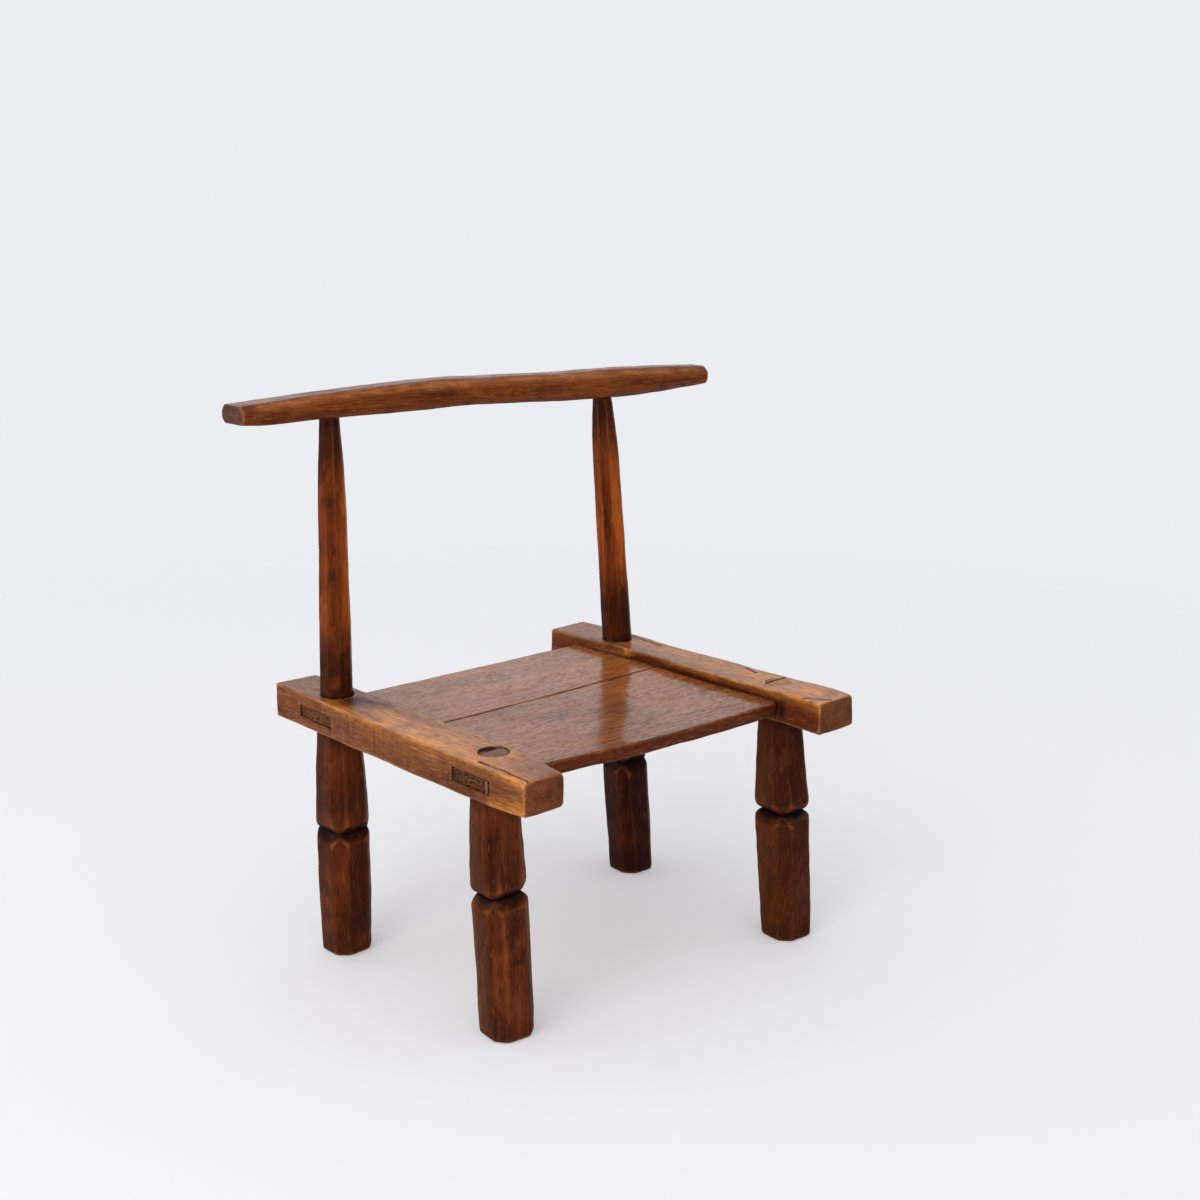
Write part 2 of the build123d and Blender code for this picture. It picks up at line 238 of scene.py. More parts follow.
def paint(piece, grainAxis, spots, seed, keenest=0.22):
    # wear: where the surface turns sharply outward, drawn lighter as wear and a painted highlight;
    # hollow: inward; endGrain: across the grain; tone: one shade for each flat; rubbedUp: where it
    # faces up, so that hands and clothes polish it; grime, gold, stain and sawn: near the paths in
    # spots, where grime is dirt and painted shade, and stain is stain and painted shade on the legs
    # under the seat and on a rail's inner face; near the paths of the V, the faces that cut across
    # the grain get painted shade
    mesh = piece.data
    count = len(mesh.vertices)
    place = readVectors(mesh.vertices, "co", count) / mm
    normal = readVectors(mesh.vertex_normals, "vector", count)
    turn = turning(mesh, place, normal)
    along = np.zeros(3)
    along[grainAxis] = 1
    acrossGrain = np.abs(normal @ along)
    marks = {
        "wear": np.clip(turn / keenest, 0, 1),
        "hollow": np.clip(-turn / keenest, 0, 1),
        "endGrain": np.clip((acrossGrain - 0.6) / 0.3, 0, 1),
        "tone": 0.5 + 0.9 * uneven(normal * 1.9 + place * along / 190, 1, seed),
        "rubbedUp": np.clip((normal[:, 2] - 0.5) / 0.4, 0, 1),
    }
    for mark in ("grimeAndShade", "gold", "stain", "sawn"):
        marks[mark] = np.zeros(count)
        for path, reach, strength in spots.get(mark, ()):
            fade = np.exp(-(distanceTo(path, place) / reach) ** 2)
            marks[mark] = np.maximum(marks[mark], strength * fade)
    slant = np.clip((acrossGrain - 0.12) / 0.25, 0, 1)
    # painted shade: near the V, the faces that cut across the grain are darkened
    for path, reach, strength in spots.get("carved", ()):
        fade = np.clip(1.6 - distanceTo(path, place) / reach, 0, 1)
        marks["grimeAndShade"] = np.maximum(marks["grimeAndShade"], strength * fade * slant)
        marks["endGrain"] *= 1 - fade
    for mark, values in marks.items():
        layer = mesh.attributes.new(mark, "FLOAT", "POINT")
        layer.data.foreach_set("value", values.astype(np.float32))


def finishPiece(piece, nodes, material, sharpAngle=50):
    mesh = piece.data
    mesh.shade_smooth()
    mesh.set_sharp_from_angle(angle=math.radians(sharpAngle))
    mesh.materials.clear()
    mesh.materials.append(material)
    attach(piece, "root")
    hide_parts(*nodes)


class Value:
    # a socket that can be used in sums

    def __init__(self, finish, socket):
        self.finish = finish
        self.socket = socket

    def sum(self, operation, first, second, clamp=False):
        settings = {"operation": operation, "use_clamp": clamp}
        return self.finish.node("ShaderNodeMath", settings, {0: first, 1: second})

    def __add__(self, other):
        return self.sum("ADD", self, other)

    def __radd__(self, other):
        return self.sum("ADD", other, self)

    def __sub__(self, other):
        return self.sum("SUBTRACT", self, other)

    def __rsub__(self, other):
        return self.sum("SUBTRACT", other, self)

    def __mul__(self, other):
        return self.sum("MULTIPLY", self, other)

    def __rmul__(self, other):
        return self.sum("MULTIPLY", other, self)

    def limited(self):
        return self.sum("ADD", self, 0.0, clamp=True)

    def between(self, low, high, fromValue=0.0, toValue=1.0):
        # soft step from one level to the other
        settings = {"interpolation_type": "SMOOTHSTEP"}
        inputs = {"Value": self, "From Min": low, "From Max": high,
                  "To Min": fromValue, "To Max": toValue}
        return self.finish.node("ShaderNodeMapRange", settings, inputs)


class Finish:
    # the nodes of one material or world

    def __init__(self, owner, output="ShaderNodeOutputMaterial", coordinates="Object"):
        owner.use_nodes = True
        self.owner = owner
        self.tree = owner.node_tree
        self.tree.nodes.clear()
        self.output = self.tree.nodes.new(output)
        self.place = self.node("ShaderNodeTexCoord", out=coordinates)

    def node(self, kind, settings=None, inputs=None, out=0):
        made = self.tree.nodes.new(kind)
        for name, setting in (settings or {}).items():
            setattr(made, name, setting)
        for name, value in (inputs or {}).items():
            socket = made.inputs[name]
            if isinstance(value, Value):
                self.tree.links.new(value.socket, socket)
            else:
                socket.default_value = value
        return Value(self, made.outputs[out])

    def mark(self, name):
        return self.node("ShaderNodeAttribute", {"attribute_name": name}, out="Fac")

    def vector(self, operation, first, second):
        return self.node("ShaderNodeVectorMath", {"operation": operation}, {0: first, 1: second})

    def noise(self, vector, scale, detail=3.0, roughness=0.55, out=0):
        inputs = {"Vector": vector, "Scale": scale, "Detail": detail, "Roughness": roughness}
        return self.node("ShaderNodeTexNoise", None, inputs, out)

    def blend(self, factor, first, second):
        settings = {"data_type": "RGBA", "clamp_factor": True}
        return self.node("ShaderNodeMix", settings, {0: factor, 6: first, 7: second}, out=2)

    def show(self, shader):
        self.tree.links.new(shader.socket, self.output.inputs["Surface"])
        return self.owner


def colour(red, green, blue):
    # a colour as it is seen on a screen, 0 to 255, turned into light
    def light(level):
        level /= 255
        return level / 12.92 if level <= 0.04045 else ((level + 0.055) / 1.055) ** 2.4
    return (light(red), light(green), light(blue), 1.0)


# what the woods have in common, where a wood doesn't give its own
plainWood = {
    "waver": 4.0,              # mm that the fibres wander from side to side
    "blotchScale": 12.0,
    "stain": 0.4,              # how strongly the dark stains show
    "dashes": 0.3,             # the same for its open pores
    "edgeWearAndHighlight": 0.3,           # rubbed edges, drawn lighter: wear and a painted highlight along the arrises
    "pits": 0.3,               # small pits where hands have worn it
    "grimeAndShade": 0.9,              # dirt in the hollows, and painted shade in the V and at the seat's front corner
    "cleanEnd": 0.0,           # at 1, stains stay off the end grain and gold lies on it
    "flatTones": 0.19,         # how much the shade differs from flat to flat
    "roughVary": 0.16, "bumpDepth": 0.35, "dents": 0.8,
    "polish": 0.3, "polishRough": 0.3,    # the sheen on what faces up
}


def agedWood(name, ownLook):
    look = {**plainWood, **ownLook}
    f = Finish(bpy.data.materials.new(name))

    # the fibres wander a little from side to side
    drift = f.vector("SUBTRACT", f.noise(f.place, 9.0, 2.0, out="Color"), (0.5, 0.5, 0.5))
    wavy = f.vector("ADD", f.place, f.vector("MULTIPLY", drift, (look["waver"] * mm,) * 3))

    def fibres(stretch, scale, detail, roughness=0.55, axis=look["grainAxis"]):
        factors = [1.0] * 3
        factors[axis] = stretch
        return f.noise(f.vector("MULTIPLY", wavy, factors), scale, detail, roughness)

    bands = fibres(0.06, look["bandScale"], 2.0)
    streaks = fibres(0.035, look["streakScale"], 4.0, 0.6)
    threads = fibres(0.05, 520.0, 4.0, 0.7)
    dashes = fibres(look["dashStretch"], 780.0, 1.0)
    flecks = fibres(0.11, 640.0, 2.0)
    sawing = fibres(0.05, 330.0, 3.0, 0.7, axis=2)
    blotches = f.noise(f.place, look["blotchScale"], 4.0)
    patches = f.noise(f.place, look["blotchScale"] * 3.1, 4.0, 0.6)
    speckle = f.noise(f.place, 460.0, 3.0, 0.6)
    wear, hollow, grimeAndShade = f.mark("wear"), f.mark("hollow"), f.mark("grimeAndShade")
    endGrain, tone, gold = f.mark("endGrain"), f.mark("tone"), f.mark("gold")
    stain, sawn = f.mark("stain"), f.mark("sawn")

    mixed = bands.between(0.36, 0.64) * 0.22 + streaks.between(0.36, 0.66) * 0.4
    mixed = mixed + tone.between(0.1, 0.9, -look["flatTones"], look["flatTones"]) + 0.19
    shade = f.blend(mixed, look["dark"], look["light"])
    shade = f.blend(blotches.between(0.42, 0.62) * look["warmth"], shade, look["warm"])
    shade = f.blend(patches.between(0.52, 0.70) * look["stain"], shade, look["deep"])
    # gold where hands have worn it, and painted light down the front legs' flats that face the light
    handledAndLit = (gold * patches.between(0.30, 0.62, 0.35, 1.2)).limited()
    shade = f.blend(handledAndLit * (1 - endGrain * 0.6), shade, look["gold"])
    # stain, and painted shade on the legs under the seat and on the right rail's inner face
    stainedAndShaded = (stain * patches.between(0.2, 0.6, 0.75, 1.1)).limited()
    shade = f.blend(stainedAndShaded * (1 - endGrain * look["cleanEnd"]), shade, look["stainedAndShaded"])
    threadTone = threads.between(0.3, 0.7, 1 - look["threads"], 1 + look["threads"])
    sawTone = 1 + sawn * sawing.between(0.35, 0.65, -0.24, 0.24)
    shade = f.node("ShaderNodeVectorMath", {"operation": "SCALE"},
                   {0: shade, "Scale": threadTone * sawTone})
    dashMask = dashes.between(0.56, 0.66) * look["dashes"]
    shade = f.blend(dashMask, shade, look["deep"])
    fleckMask = flecks.between(0.58, 0.70) * look["flecks"] * (1 - endGrain) * (1 - stainedAndShaded * 0.6)
    shade = f.blend(fleckMask, shade, look["worn"])

    # end grain is dark and dull, with checks that run out from the heart
    checks = f.node("ShaderNodeTexVoronoi", {"feature": "DISTANCE_TO_EDGE"},
                    {"Vector": wavy, "Scale": 62.0})
    checkMask = (1 - checks.between(0.0, 0.03)) * patches.between(0.50, 0.60) * endGrain
    rays = speckle.between(0.3, 0.7) * 0.35 + bands.between(0.35, 0.65) * 0.3
    rays = rays + patches.between(0.35, 0.65) * 0.35
    cut = f.blend(rays, look["endDark"], look["endLight"])
    cut = f.blend(gold * look["cleanEnd"], cut, look["gold"])
    shade = f.blend(endGrain * 0.9, shade, cut)

    # edges made lighter where the surface turns sharply: worn edges and a painted highlight along the
    # arrises
    rubbedAndHighlit = wear.between(0.12, 0.65) * patches.between(0.22, 0.55) * look["edgeWearAndHighlight"]
    rubbedAndHighlit = rubbedAndHighlit * (1 - endGrain * 0.8) * (1 - grimeAndShade)
    shade = f.blend(rubbedAndHighlit, shade, look["worn"])
    pits = speckle.between(0.60, 0.66) * wear * gold * look["pits"]
    # darker in the hollows and near the paths: dirt, and painted shade in the V and at the seat's front
    # corner
    soiledAndShaded = hollow.between(0.08, 0.6) + grimeAndShade * patches.between(0.20, 0.55)
    soiledAndShaded = (soiledAndShaded * look["grimeAndShade"] + pits + checkMask * 0.5).limited()
    shade = f.blend(soiledAndShaded, shade, look["deep"])

    roughness = patches.between(0.35, 0.7, look["rough"], look["rough"] + look["roughVary"])
    roughness = roughness + (dashMask + soiledAndShaded + endGrain) * 0.2
    height = threads * 0.4 + streaks * 0.6 + speckle * 0.15 + patches * look["dents"]
    height = height - dashMask * 1.2 - soiledAndShaded * 0.6 + sawn * sawing * 0.8
    bump = f.node("ShaderNodeBump", None, {
        "Strength": 1.0, "Distance": look["bumpDepth"] * mm, "Height": height,
    })
    sheen = threads.between(0.35, 0.65, 0.72, 1.1) * (1 - dashMask) * (1 - soiledAndShaded * 0.7)
    return f.show(f.node("ShaderNodeBsdfPrincipled", None, {
        "Base Color": shade, "Roughness": roughness.limited(), "Normal": bump,
        "Specular IOR Level": look["gloss"], "Coat Roughness": look["polishRough"],
        "Coat Weight": f.mark("rubbedUp") * sheen * look["polish"],
    }))


railFinish = agedWood("railWood", {
    "grainAxis": 1, "bandScale": 90.0, "streakScale": 220.0, "dashStretch": 0.09, "blotchScale": 11.0,
    "dark": colour(81, 43, 23), "light": colour(136, 84, 49), "warm": colour(150, 87, 44),
    "deep": colour(42, 19, 9), "worn": colour(206, 150, 92), "gold": colour(220, 138, 60),
    # the stained colour is also that of the painted shade on the right rail's inner face
    "stainedAndShaded": colour(88, 36, 12), "endDark": colour(62, 29, 14), "endLight": colour(126, 72, 40),
    "warmth": 0.6, "stain": 0.45, "threads": 0.26, "dashes": 0.42, "flecks": 0.28,
    "edgeWearAndHighlight": 0.42, "pits": 2.0,
    "rough": 0.26, "gloss": 0.06, "polish": 0.42, "polishRough": 0.24,
})
seatFinish = agedWood("seatWood", {
    "grainAxis": 0, "waver": 5.0, "bandScale": 70.0, "streakScale": 190.0, "dashStretch": 0.16,
    "blotchScale": 10.0,
    "dark": colour(106, 56, 23), "light": colour(162, 98, 44), "warm": colour(164, 88, 31),
    "deep": colour(52, 23, 11), "worn": colour(188, 130, 84), "gold": colour(168, 98, 46),
    "stainedAndShaded": colour(84, 36, 16), "endDark": colour(40, 20, 12), "endLight": colour(90, 54, 35),
    "warmth": 0.45, "stain": 0.26, "threads": 0.3, "dashes": 0.6, "flecks": 0.5,
    "edgeWearAndHighlight": 0.25, "pits": 0.4,
    "rough": 0.15, "roughVary": 0.12, "bumpDepth": 0.26, "gloss": 0.06, "polish": 0.56, "polishRough": 0.15,
})
legFinish = agedWood("legWood", {
    "grainAxis": 2, "bandScale": 110.0, "streakScale": 160.0, "dashStretch": 0.08, "blotchScale": 14.0,
    "dark": colour(60, 25, 11), "light": colour(124, 60, 26), "warm": colour(136, 64, 26),
    "deep": colour(24, 10, 5), "worn": colour(164, 88, 46), "gold": colour(186, 126, 72),
    # the stained colour is also that of the painted shade on the front legs under the seat
    "stainedAndShaded": colour(46, 16, 6), "endDark": colour(100, 71, 57), "endLight": colour(140, 106, 88),
    "warmth": 0.5, "stain": 0.5, "threads": 0.14, "flecks": 0.3, "grimeAndShade": 0.95, "cleanEnd": 1.0,
    "flatTones": 0.34, "rough": 0.36, "roughVary": 0.18, "bumpDepth": 0.4, "dents": 1.0, "gloss": 0.04,
})
postFinish = agedWood("postWood", {
    "grainAxis": 2, "waver": 3.0, "bandScale": 130.0, "streakScale": 190.0, "dashStretch": 0.07,
    "dark": colour(74, 28, 9), "light": colour(146, 66, 20), "warm": colour(164, 76, 22),
    "deep": colour(28, 11, 5), "worn": colour(186, 104, 46), "gold": colour(196, 98, 28),
    # the stained colour is also that of the painted shade on the rear legs under the seat
    "stainedAndShaded": colour(48, 18, 8), "endDark": colour(50, 26, 15), "endLight": colour(90, 54, 32),
    "warmth": 0.6, "stain": 0.5, "threads": 0.24, "dashes": 0.35, "flecks": 0.2,
    "edgeWearAndHighlight": 0.36, "grimeAndShade": 0.95, "flatTones": 0.34, "rough": 0.34, "gloss": 0.05,
})
crestFinish = agedWood("crestWood", {
    "grainAxis": 0, "bandScale": 100.0, "streakScale": 190.0, "dashStretch": 0.08,
    "dark": colour(76, 33, 13), "light": colour(122, 62, 27), "warm": colour(136, 70, 28),
    "deep": colour(30, 12, 6), "worn": colour(196, 132, 82), "gold": colour(176, 108, 54),
    "stainedAndShaded": colour(70, 28, 11), "endDark": colour(58, 36, 28), "endLight": colour(102, 71, 58),
    "warmth": 0.55, "threads": 0.2, "dashes": 0.35, "flecks": 0.16, "pits": 0.5,
    "flatTones": 0.22, "rough": 0.28, "gloss": 0.05, "polish": 0.40, "polishRough": 0.26,
})
wedgeFinish = agedWood("wedgeWood", {
    "grainAxis": 0, "waver": 1.0, "bandScale": 200.0, "streakScale": 500.0, "dashStretch": 0.1,
    "blotchScale": 30.0,
    "dark": colour(78, 50, 35), "light": colour(128, 90, 64), "warm": colour(112, 76, 50),
    "deep": colour(28, 14, 8), "worn": colour(158, 116, 84), "gold": colour(186, 124, 70),
    "stainedAndShaded": colour(90, 54, 34), "endDark": colour(96, 64, 44), "endLight": colour(142, 102, 74),
    "warmth": 0.5, "threads": 0.16, "flecks": 0.1, "edgeWearAndHighlight": 0.4, "pits": 0.2, "grimeAndShade": 0.6,
    "rough": 0.42, "roughVary": 0.12, "bumpDepth": 0.3, "dents": 0.6, "gloss": 0.08,
})
print("finishes made")


seatLow, seatHigh = cadPlace("seat_front_board")

# where the legs stand, pass the rails and meet the crest
joints = {
    "frontLeft": {"foot": footPlace("front_left_foot"), "tenon": (-192.2, -108.0)},
    "frontRight": {"foot": footPlace("front_right_foot"), "tenon": (175.8, -121.0)},
    "rearLeft": {"foot": footPlace("rear_left_foot"), "tenon": (-199.7, 133.5), "head": (-196.2, 138.2)},
    "rearRight": {"foot": footPlace("rear_right_foot"), "tenon": (168.8, 118.5), "head": (152.6, 128.6)},
}

hewing = {
    "around": 128,             # points round a leg
    "step": 2.0,               # from ring to ring
    "fineStep": 0.8,           # the same, round the V
    "fineBelow": 14, "fineAbove": 16,         # how far from the V the rings are that close
    "shoulderHalf": 20.2,
    "barrel": 1.35,            # the larger, the fuller the leg stays above the V
    "cornerExtra": 1.7,        # the corner flats stand out more, so they are narrower
    "veeHeight": 9.0,
    "shaftCurve": 0.6, "veeCurve": 0.85, "runOutCurve": 1.7,    # how soon each reaches its full width
    "upperFlank": 1.25,        # how far the V runs up the flats, in vees
    "lowerFlank": [(1.25, 1.7), (0.95, 1.2)],    # and down the main flats and the corner ones
    "calmReach": 9,            # this near to the V the knife marks are shallow
    "tiltReach": 24,           # and this near the leg shares its tilt
    "bevel": 4.2,
    "scoop": 0.5, "scoopLength": 30, "paring": 0.9,
    "sway": 1.8, "swayLength": 45,            # degrees that each flat turns to and fro
    "softness": 60,            # the larger, the crisper the arrises
    "frontTenon": 14.0, "rearTenon": 16.8,
    "tenonFit": 0.15, "recess": 0.1, "rim": 0.3,    # of a front tenon's end
    "seamFit": 0.45, "seamRecess": 0.5, "seamRim": 0.9,    # what a full seam adds to these
}
# half widths at the foot, under the V, at its root and above it; twist: degrees; tilt: of the V
# in x and y; bend: height, and how far the leg's middle strays in x; seam: the line round its tenon;
# topGold and wedgeDirt: on a front tenon's end; streak: where a post is worn, in x and y, and how much;
# stain: how dark the leg is painted from the foot up, stain and painted shade, most on the legs that
# stand deeper under the seat
legs = {
    "frontLeft": {
        "seed": 3, "waist": 143.3, "foot": 23.4, "shin": 24.2, "root": 14.4, "belly": 23.7,
        "twist": -6, "tilt": (0.085, -0.08), "bend": [(0, 1.4), (100, 0.2), (190, -1.8), (246, -0.6)],
        "stain": 0.4, "seam": 1.2, "topGold": 0.0, "wedgeDirt": 2.4,
    },
    "frontRight": {
        "seed": 5, "waist": 138.6, "foot": 24.7, "shin": 26.7, "root": 15.2, "belly": 26.3,
        "twist": -4, "tilt": (0.0, 0.0), "bend": [(0, 0.4), (246, 0.4)],
        "stain": 0.85, "seam": 0.0, "topGold": 1.0, "wedgeDirt": 0.0,
    },
    "rearLeft": {
        "seed": 8, "waist": 136.3, "foot": 23.0, "shin": 25.0, "root": 17.6, "belly": 24.7,
        "twist": 3, "tilt": (0.0, 0.0), "bend": [(0, 0.0), (120, 0.8), (246, 0.4)],
        "stain": 0.95, "seam": 0.9, "postStain": 0.3, "faceStain": 0.75, "streak": (9, -11, 0.7),
    },
    "rearRight": {
        "seed": 13, "waist": 134.5, "foot": 23.0, "shin": 23.6, "root": 16.6, "belly": 23.8,
        "twist": -3, "tilt": (0.0, 0.0), "bend": [(0, 1.2), (246, 0.6)],
        "stain": 1.1, "seam": 0.9, "postStain": 0.0, "faceStain": 0.0, "streak": (-4, -15, 0.55),
    },
}


def facetRing(centres, heights, halves, facing, softness):
    # rings of points; halves holds, for each ring, how far each of its flats is from the axis
    angles = np.linspace(0, 2 * math.pi, hewing["around"], endpoint=False)
    lean = np.cos(angles[None, :, None] - facing[:, None, :]) / halves[:, None, :]
    radius = (np.clip(lean, 0, None) ** softness).sum(2) ** (-1 / softness)
    x = centres[:, 0:1] + radius * np.cos(angles)
    y = centres[:, 1:2] + radius * np.sin(angles)
    z = np.repeat(heights[:, None], hewing["around"], axis=1)
    return np.stack([x, y, z], axis=2)


def roundRing(centre, z, radius, around=hewing["around"]):
    angles = np.linspace(0, 2 * math.pi, around, endpoint=False)
    x = centre[0] + radius * np.cos(angles)
    y = centre[1] + radius * np.sin(angles)
    return np.stack([x, y, np.full_like(x, z)], axis=1)


def circlePath(centre, z, radius):
    return [(centre[0] + radius * math.cos(a), centre[1] + radius * math.sin(a), z)
            for a in np.linspace(0, 2 * math.pi, 13)]


def facings(twist, count):
    # the directions of eight flats and of the arrises between them, for each ring
    facing = math.radians(twist) + np.arange(16) * math.pi / 8
    return np.repeat(facing[None, :], count, axis=0)


def knifeMarks(places, flats, seed, depth, length):
    # shallow scoops along each flat, of uneven length, as a knife leaves them
    marks = np.zeros((len(places), flats))
    rng = np.random.default_rng(seed)
    for flat in range(flats):
        start = places.min() - rng.uniform(0, length)
        while start < places.max():
            stretch = length * rng.uniform(0.6, 1.5)
            t = (places - start) / stretch
            inside = (t >= 0) & (t < 1)
            scoop = depth * rng.uniform(0.3, 1.0) * (1 - (2 * t - 1) ** 2)
            marks[inside, flat] -= scoop[inside]
            start += stretch
        wave = [(place, rng.uniform(-1, 1)) for place in np.arange(places.min(), places.max() + 60, 30)]
        marks[:, flat] += depth * smoothLine(wave, places)
    return marks


def pared(flats, places, seed, paring):
    # eight flats, and a thin one where each two of them would meet
    arris = (flats + np.roll(flats, -1, axis=1)) / (2 * math.cos(math.pi / 8))
    rng = np.random.default_rng(seed + 100)
    halves = np.empty((len(places), 16))
    halves[:, 0::2] = flats
    for index in range(8):
        stations = np.arange(places.min() - 10, places.max() + 40, 22)
        thin = smoothLine([(place, rng.uniform(-0.6, 1.0)) for place in stations], places)
        halves[:, 2 * index + 1] = arris[:, index] - paring * thin
    return halves


def legHeights(leg, top):
    fineFrom, fineTo = leg["waist"] - hewing["fineBelow"], leg["waist"] + hewing["fineAbove"]
    foot = np.linspace(0, hewing["bevel"], 8)
    low = np.arange(hewing["bevel"] + 1, fineFrom, hewing["step"])
    middle = np.arange(fineFrom, fineTo, hewing["fineStep"])
    high = np.arange(fineTo, top - 0.5, hewing["step"])
    return np.concatenate([foot, low, middle, high, [top]])


def legRings(leg, joint, top, railTop):
    z = legHeights(leg, top)
    waist, vee, bevel, root = leg["waist"], hewing["veeHeight"], hewing["bevel"], leg["root"]
    away = np.abs(z - waist)

    # the shaft below the V and the barrel above it, up to the shoulder
    rise = np.clip(z / (waist - vee), 0, 1)
    below = leg["foot"] + (leg["shin"] - leg["foot"]) * rise ** hewing["shaftCurve"]
    rise = np.clip((z - waist - vee) / (top - waist - vee), 0, 1)
    above = leg["belly"] + (hewing["shoulderHalf"] - leg["belly"]) * rise ** hewing["barrel"]
    body = np.where(z < waist, below, above)
    curved = np.clip(away / (vee * hewing["upperFlank"]), 0, 1) ** hewing["veeCurve"]
    curved = np.sin(math.pi / 2 * curved)
    rounding = bevel * (1 - np.sqrt(np.clip(1 - (1 - np.clip(z / bevel, 0, 1)) ** 2, 0, 1)))

    # the V is round above, and below it runs out softly, further on the main flats
    rng = np.random.default_rng(leg["seed"] + 60)
    flats = np.empty((len(z), 8))
    for flat in range(8):
        corner = flat % 2
        reach = vee * rng.uniform(*hewing["lowerFlank"][corner])
        runOut = 1 - (1 - np.clip(away / reach, 0, 1)) ** hewing["runOutCurve"]
        start = root * (math.sqrt(2) if corner else 1)
        full = body + hewing["cornerExtra"] * corner
        flats[:, flat] = start + (full - start) * np.where(z < waist, runOut, curved) - rounding
    marks = knifeMarks(z, 8, leg["seed"], hewing["scoop"], hewing["scoopLength"])
    plain = pared(flats, z, leg["seed"], 0.0)
    hewn = pared(flats + marks, z, leg["seed"], hewing["paring"])
    calm = np.clip(away / hewing["calmReach"], 0.25, 1)[:, None]
    halves = plain + (hewn - plain) * calm

    rng = np.random.default_rng(leg["seed"] + 40)
    stations = np.arange(-20, top + 60, hewing["swayLength"])
    sway = [smoothLine([(station, rng.uniform(-1, 1)) for station in stations], z) for _ in range(16)]
    facing = facings(leg["twist"], len(z)) + math.radians(hewing["sway"]) * np.array(sway).T * calm
    share = (z / railTop)[:, None]
    centres = np.array(joint["foot"]) * (1 - share) + np.array(joint["tenon"]) * share
    centres[:, 0] += smoothLine(leg["bend"], z)
    rings = facetRing(centres, z, halves, facing, hewing["softness"])
    lean = (rings[:, :, :2] - centres[:, None, :]) @ np.array(leg["tilt"])
    rings[:, :, 2] += lean * np.exp(-((z - waist) / hewing["tiltReach"]) ** 2)[:, None]
    return rings


dirtAndShade = {
    # reach and strength of the dirt under the rail and round the foot, and of the painted shade in the V
    "shoulder": (24, 0.9), "foot": (26, 0.6), "vee": (11, 1.0),
    "stainAndShadeReach": 60,
    "tenonHeight": 262,        # halfway up the rails
}


def legSpots(leg, joint, underRail, stainAndShadeTop):
    foot = (*joint["foot"], 0)
    rise = leg["waist"] / dirtAndShade["tenonHeight"]
    waist = np.array(joint["foot"]) * (1 - rise) + np.array(joint["tenon"]) * rise
    return {
        "grimeAndShade": [([(*joint["tenon"], underRail)], *dirtAndShade["shoulder"]), ([foot], *dirtAndShade["foot"])],
        # painted shade on the flanks of the V
        "carved": [(circlePath(waist, leg["waist"], leg["root"]), *dirtAndShade["vee"])],
        # stain up the whole leg, and painted shade on the legs deeper under the seat
        "stain": [([foot, (*joint["foot"], stainAndShadeTop)], dirtAndShade["stainAndShadeReach"], leg["stain"])],
    }


def wobbled(points, seed, amount=0.16):
    # tiny unevenness in plan, so that no face is dead flat
    wave = np.stack([uneven(points, 9, seed), uneven(points, 9, seed + 1)], axis=1)
    points = points.copy()
    points[:, :2] += amount * wave
    return points


wedging = {
    "slope": 0.18,             # of the flat between a front tenon and its wedge
    "wider": 1.9,              # how much further forward the flat of the wedge is than in the CAD
    "slit": 1.9,               # the open line between the two
    "slitEnds": [(-13, -0.6), (16, 0.8)],    # where dirt in that line ends, from the tenon's middle
    "loose": 0.5,              # the wedge is smaller than the tenon by this
    "recess": 0.2, "dirtRecess": 0.5,
    "flatBack": 0.35,          # its flat lies this far behind the tips of the crescent
    # the block that makes room for it: its width and depth, and how much taller and higher it is
    "space": (60, 30, 30), "spaceRise": 14,
    "seed": 3,
}
dirtReach = {"seam": 1.4, "slit": 1.4, "crack": 1.3, "mouth": 1.6}    # in the lines of the joints


def topOfRail(key):
    side = "left" if key.endswith("Left") else "right"
    return float(smoothLine(sideRails[side]["top"], joints[key]["tenon"][1]))


def slitLine(side):
    # along the flat of a front wedge, and a little past both its ends
    key = "front" + side.title()
    low, _ = cadPlace(f"front_{side}_leg_wedge")
    x, y, z = joints[key]["tenon"][0], low[1] - wedging["wider"] - wedging["slit"] / 2, topOfRail(key)
    return [(x + pastX, y + pastY, z) for pastX, pastY in wedging["slitEnds"]]


def wedgeSpace(low, high):
    # cuts room for the crescent wedge behind a front tenon
    wide, deep, extra = wedging["space"]
    size = np.array([wide, deep, high[2] - low[2] + extra])
    points, _, faces = wornBlock(size, 8, 0.4, 0.0, 1)
    points[:, 1] += low[1] + size[1] / 2 - wedging["wider"] - wedging["slit"]
    points[:, 0] += (low[0] + high[0]) / 2
    points[:, 2] += (low[2] + high[2]) / 2 + wedging["spaceRise"]
    return makePiece("wedgeSpace", points, faces)


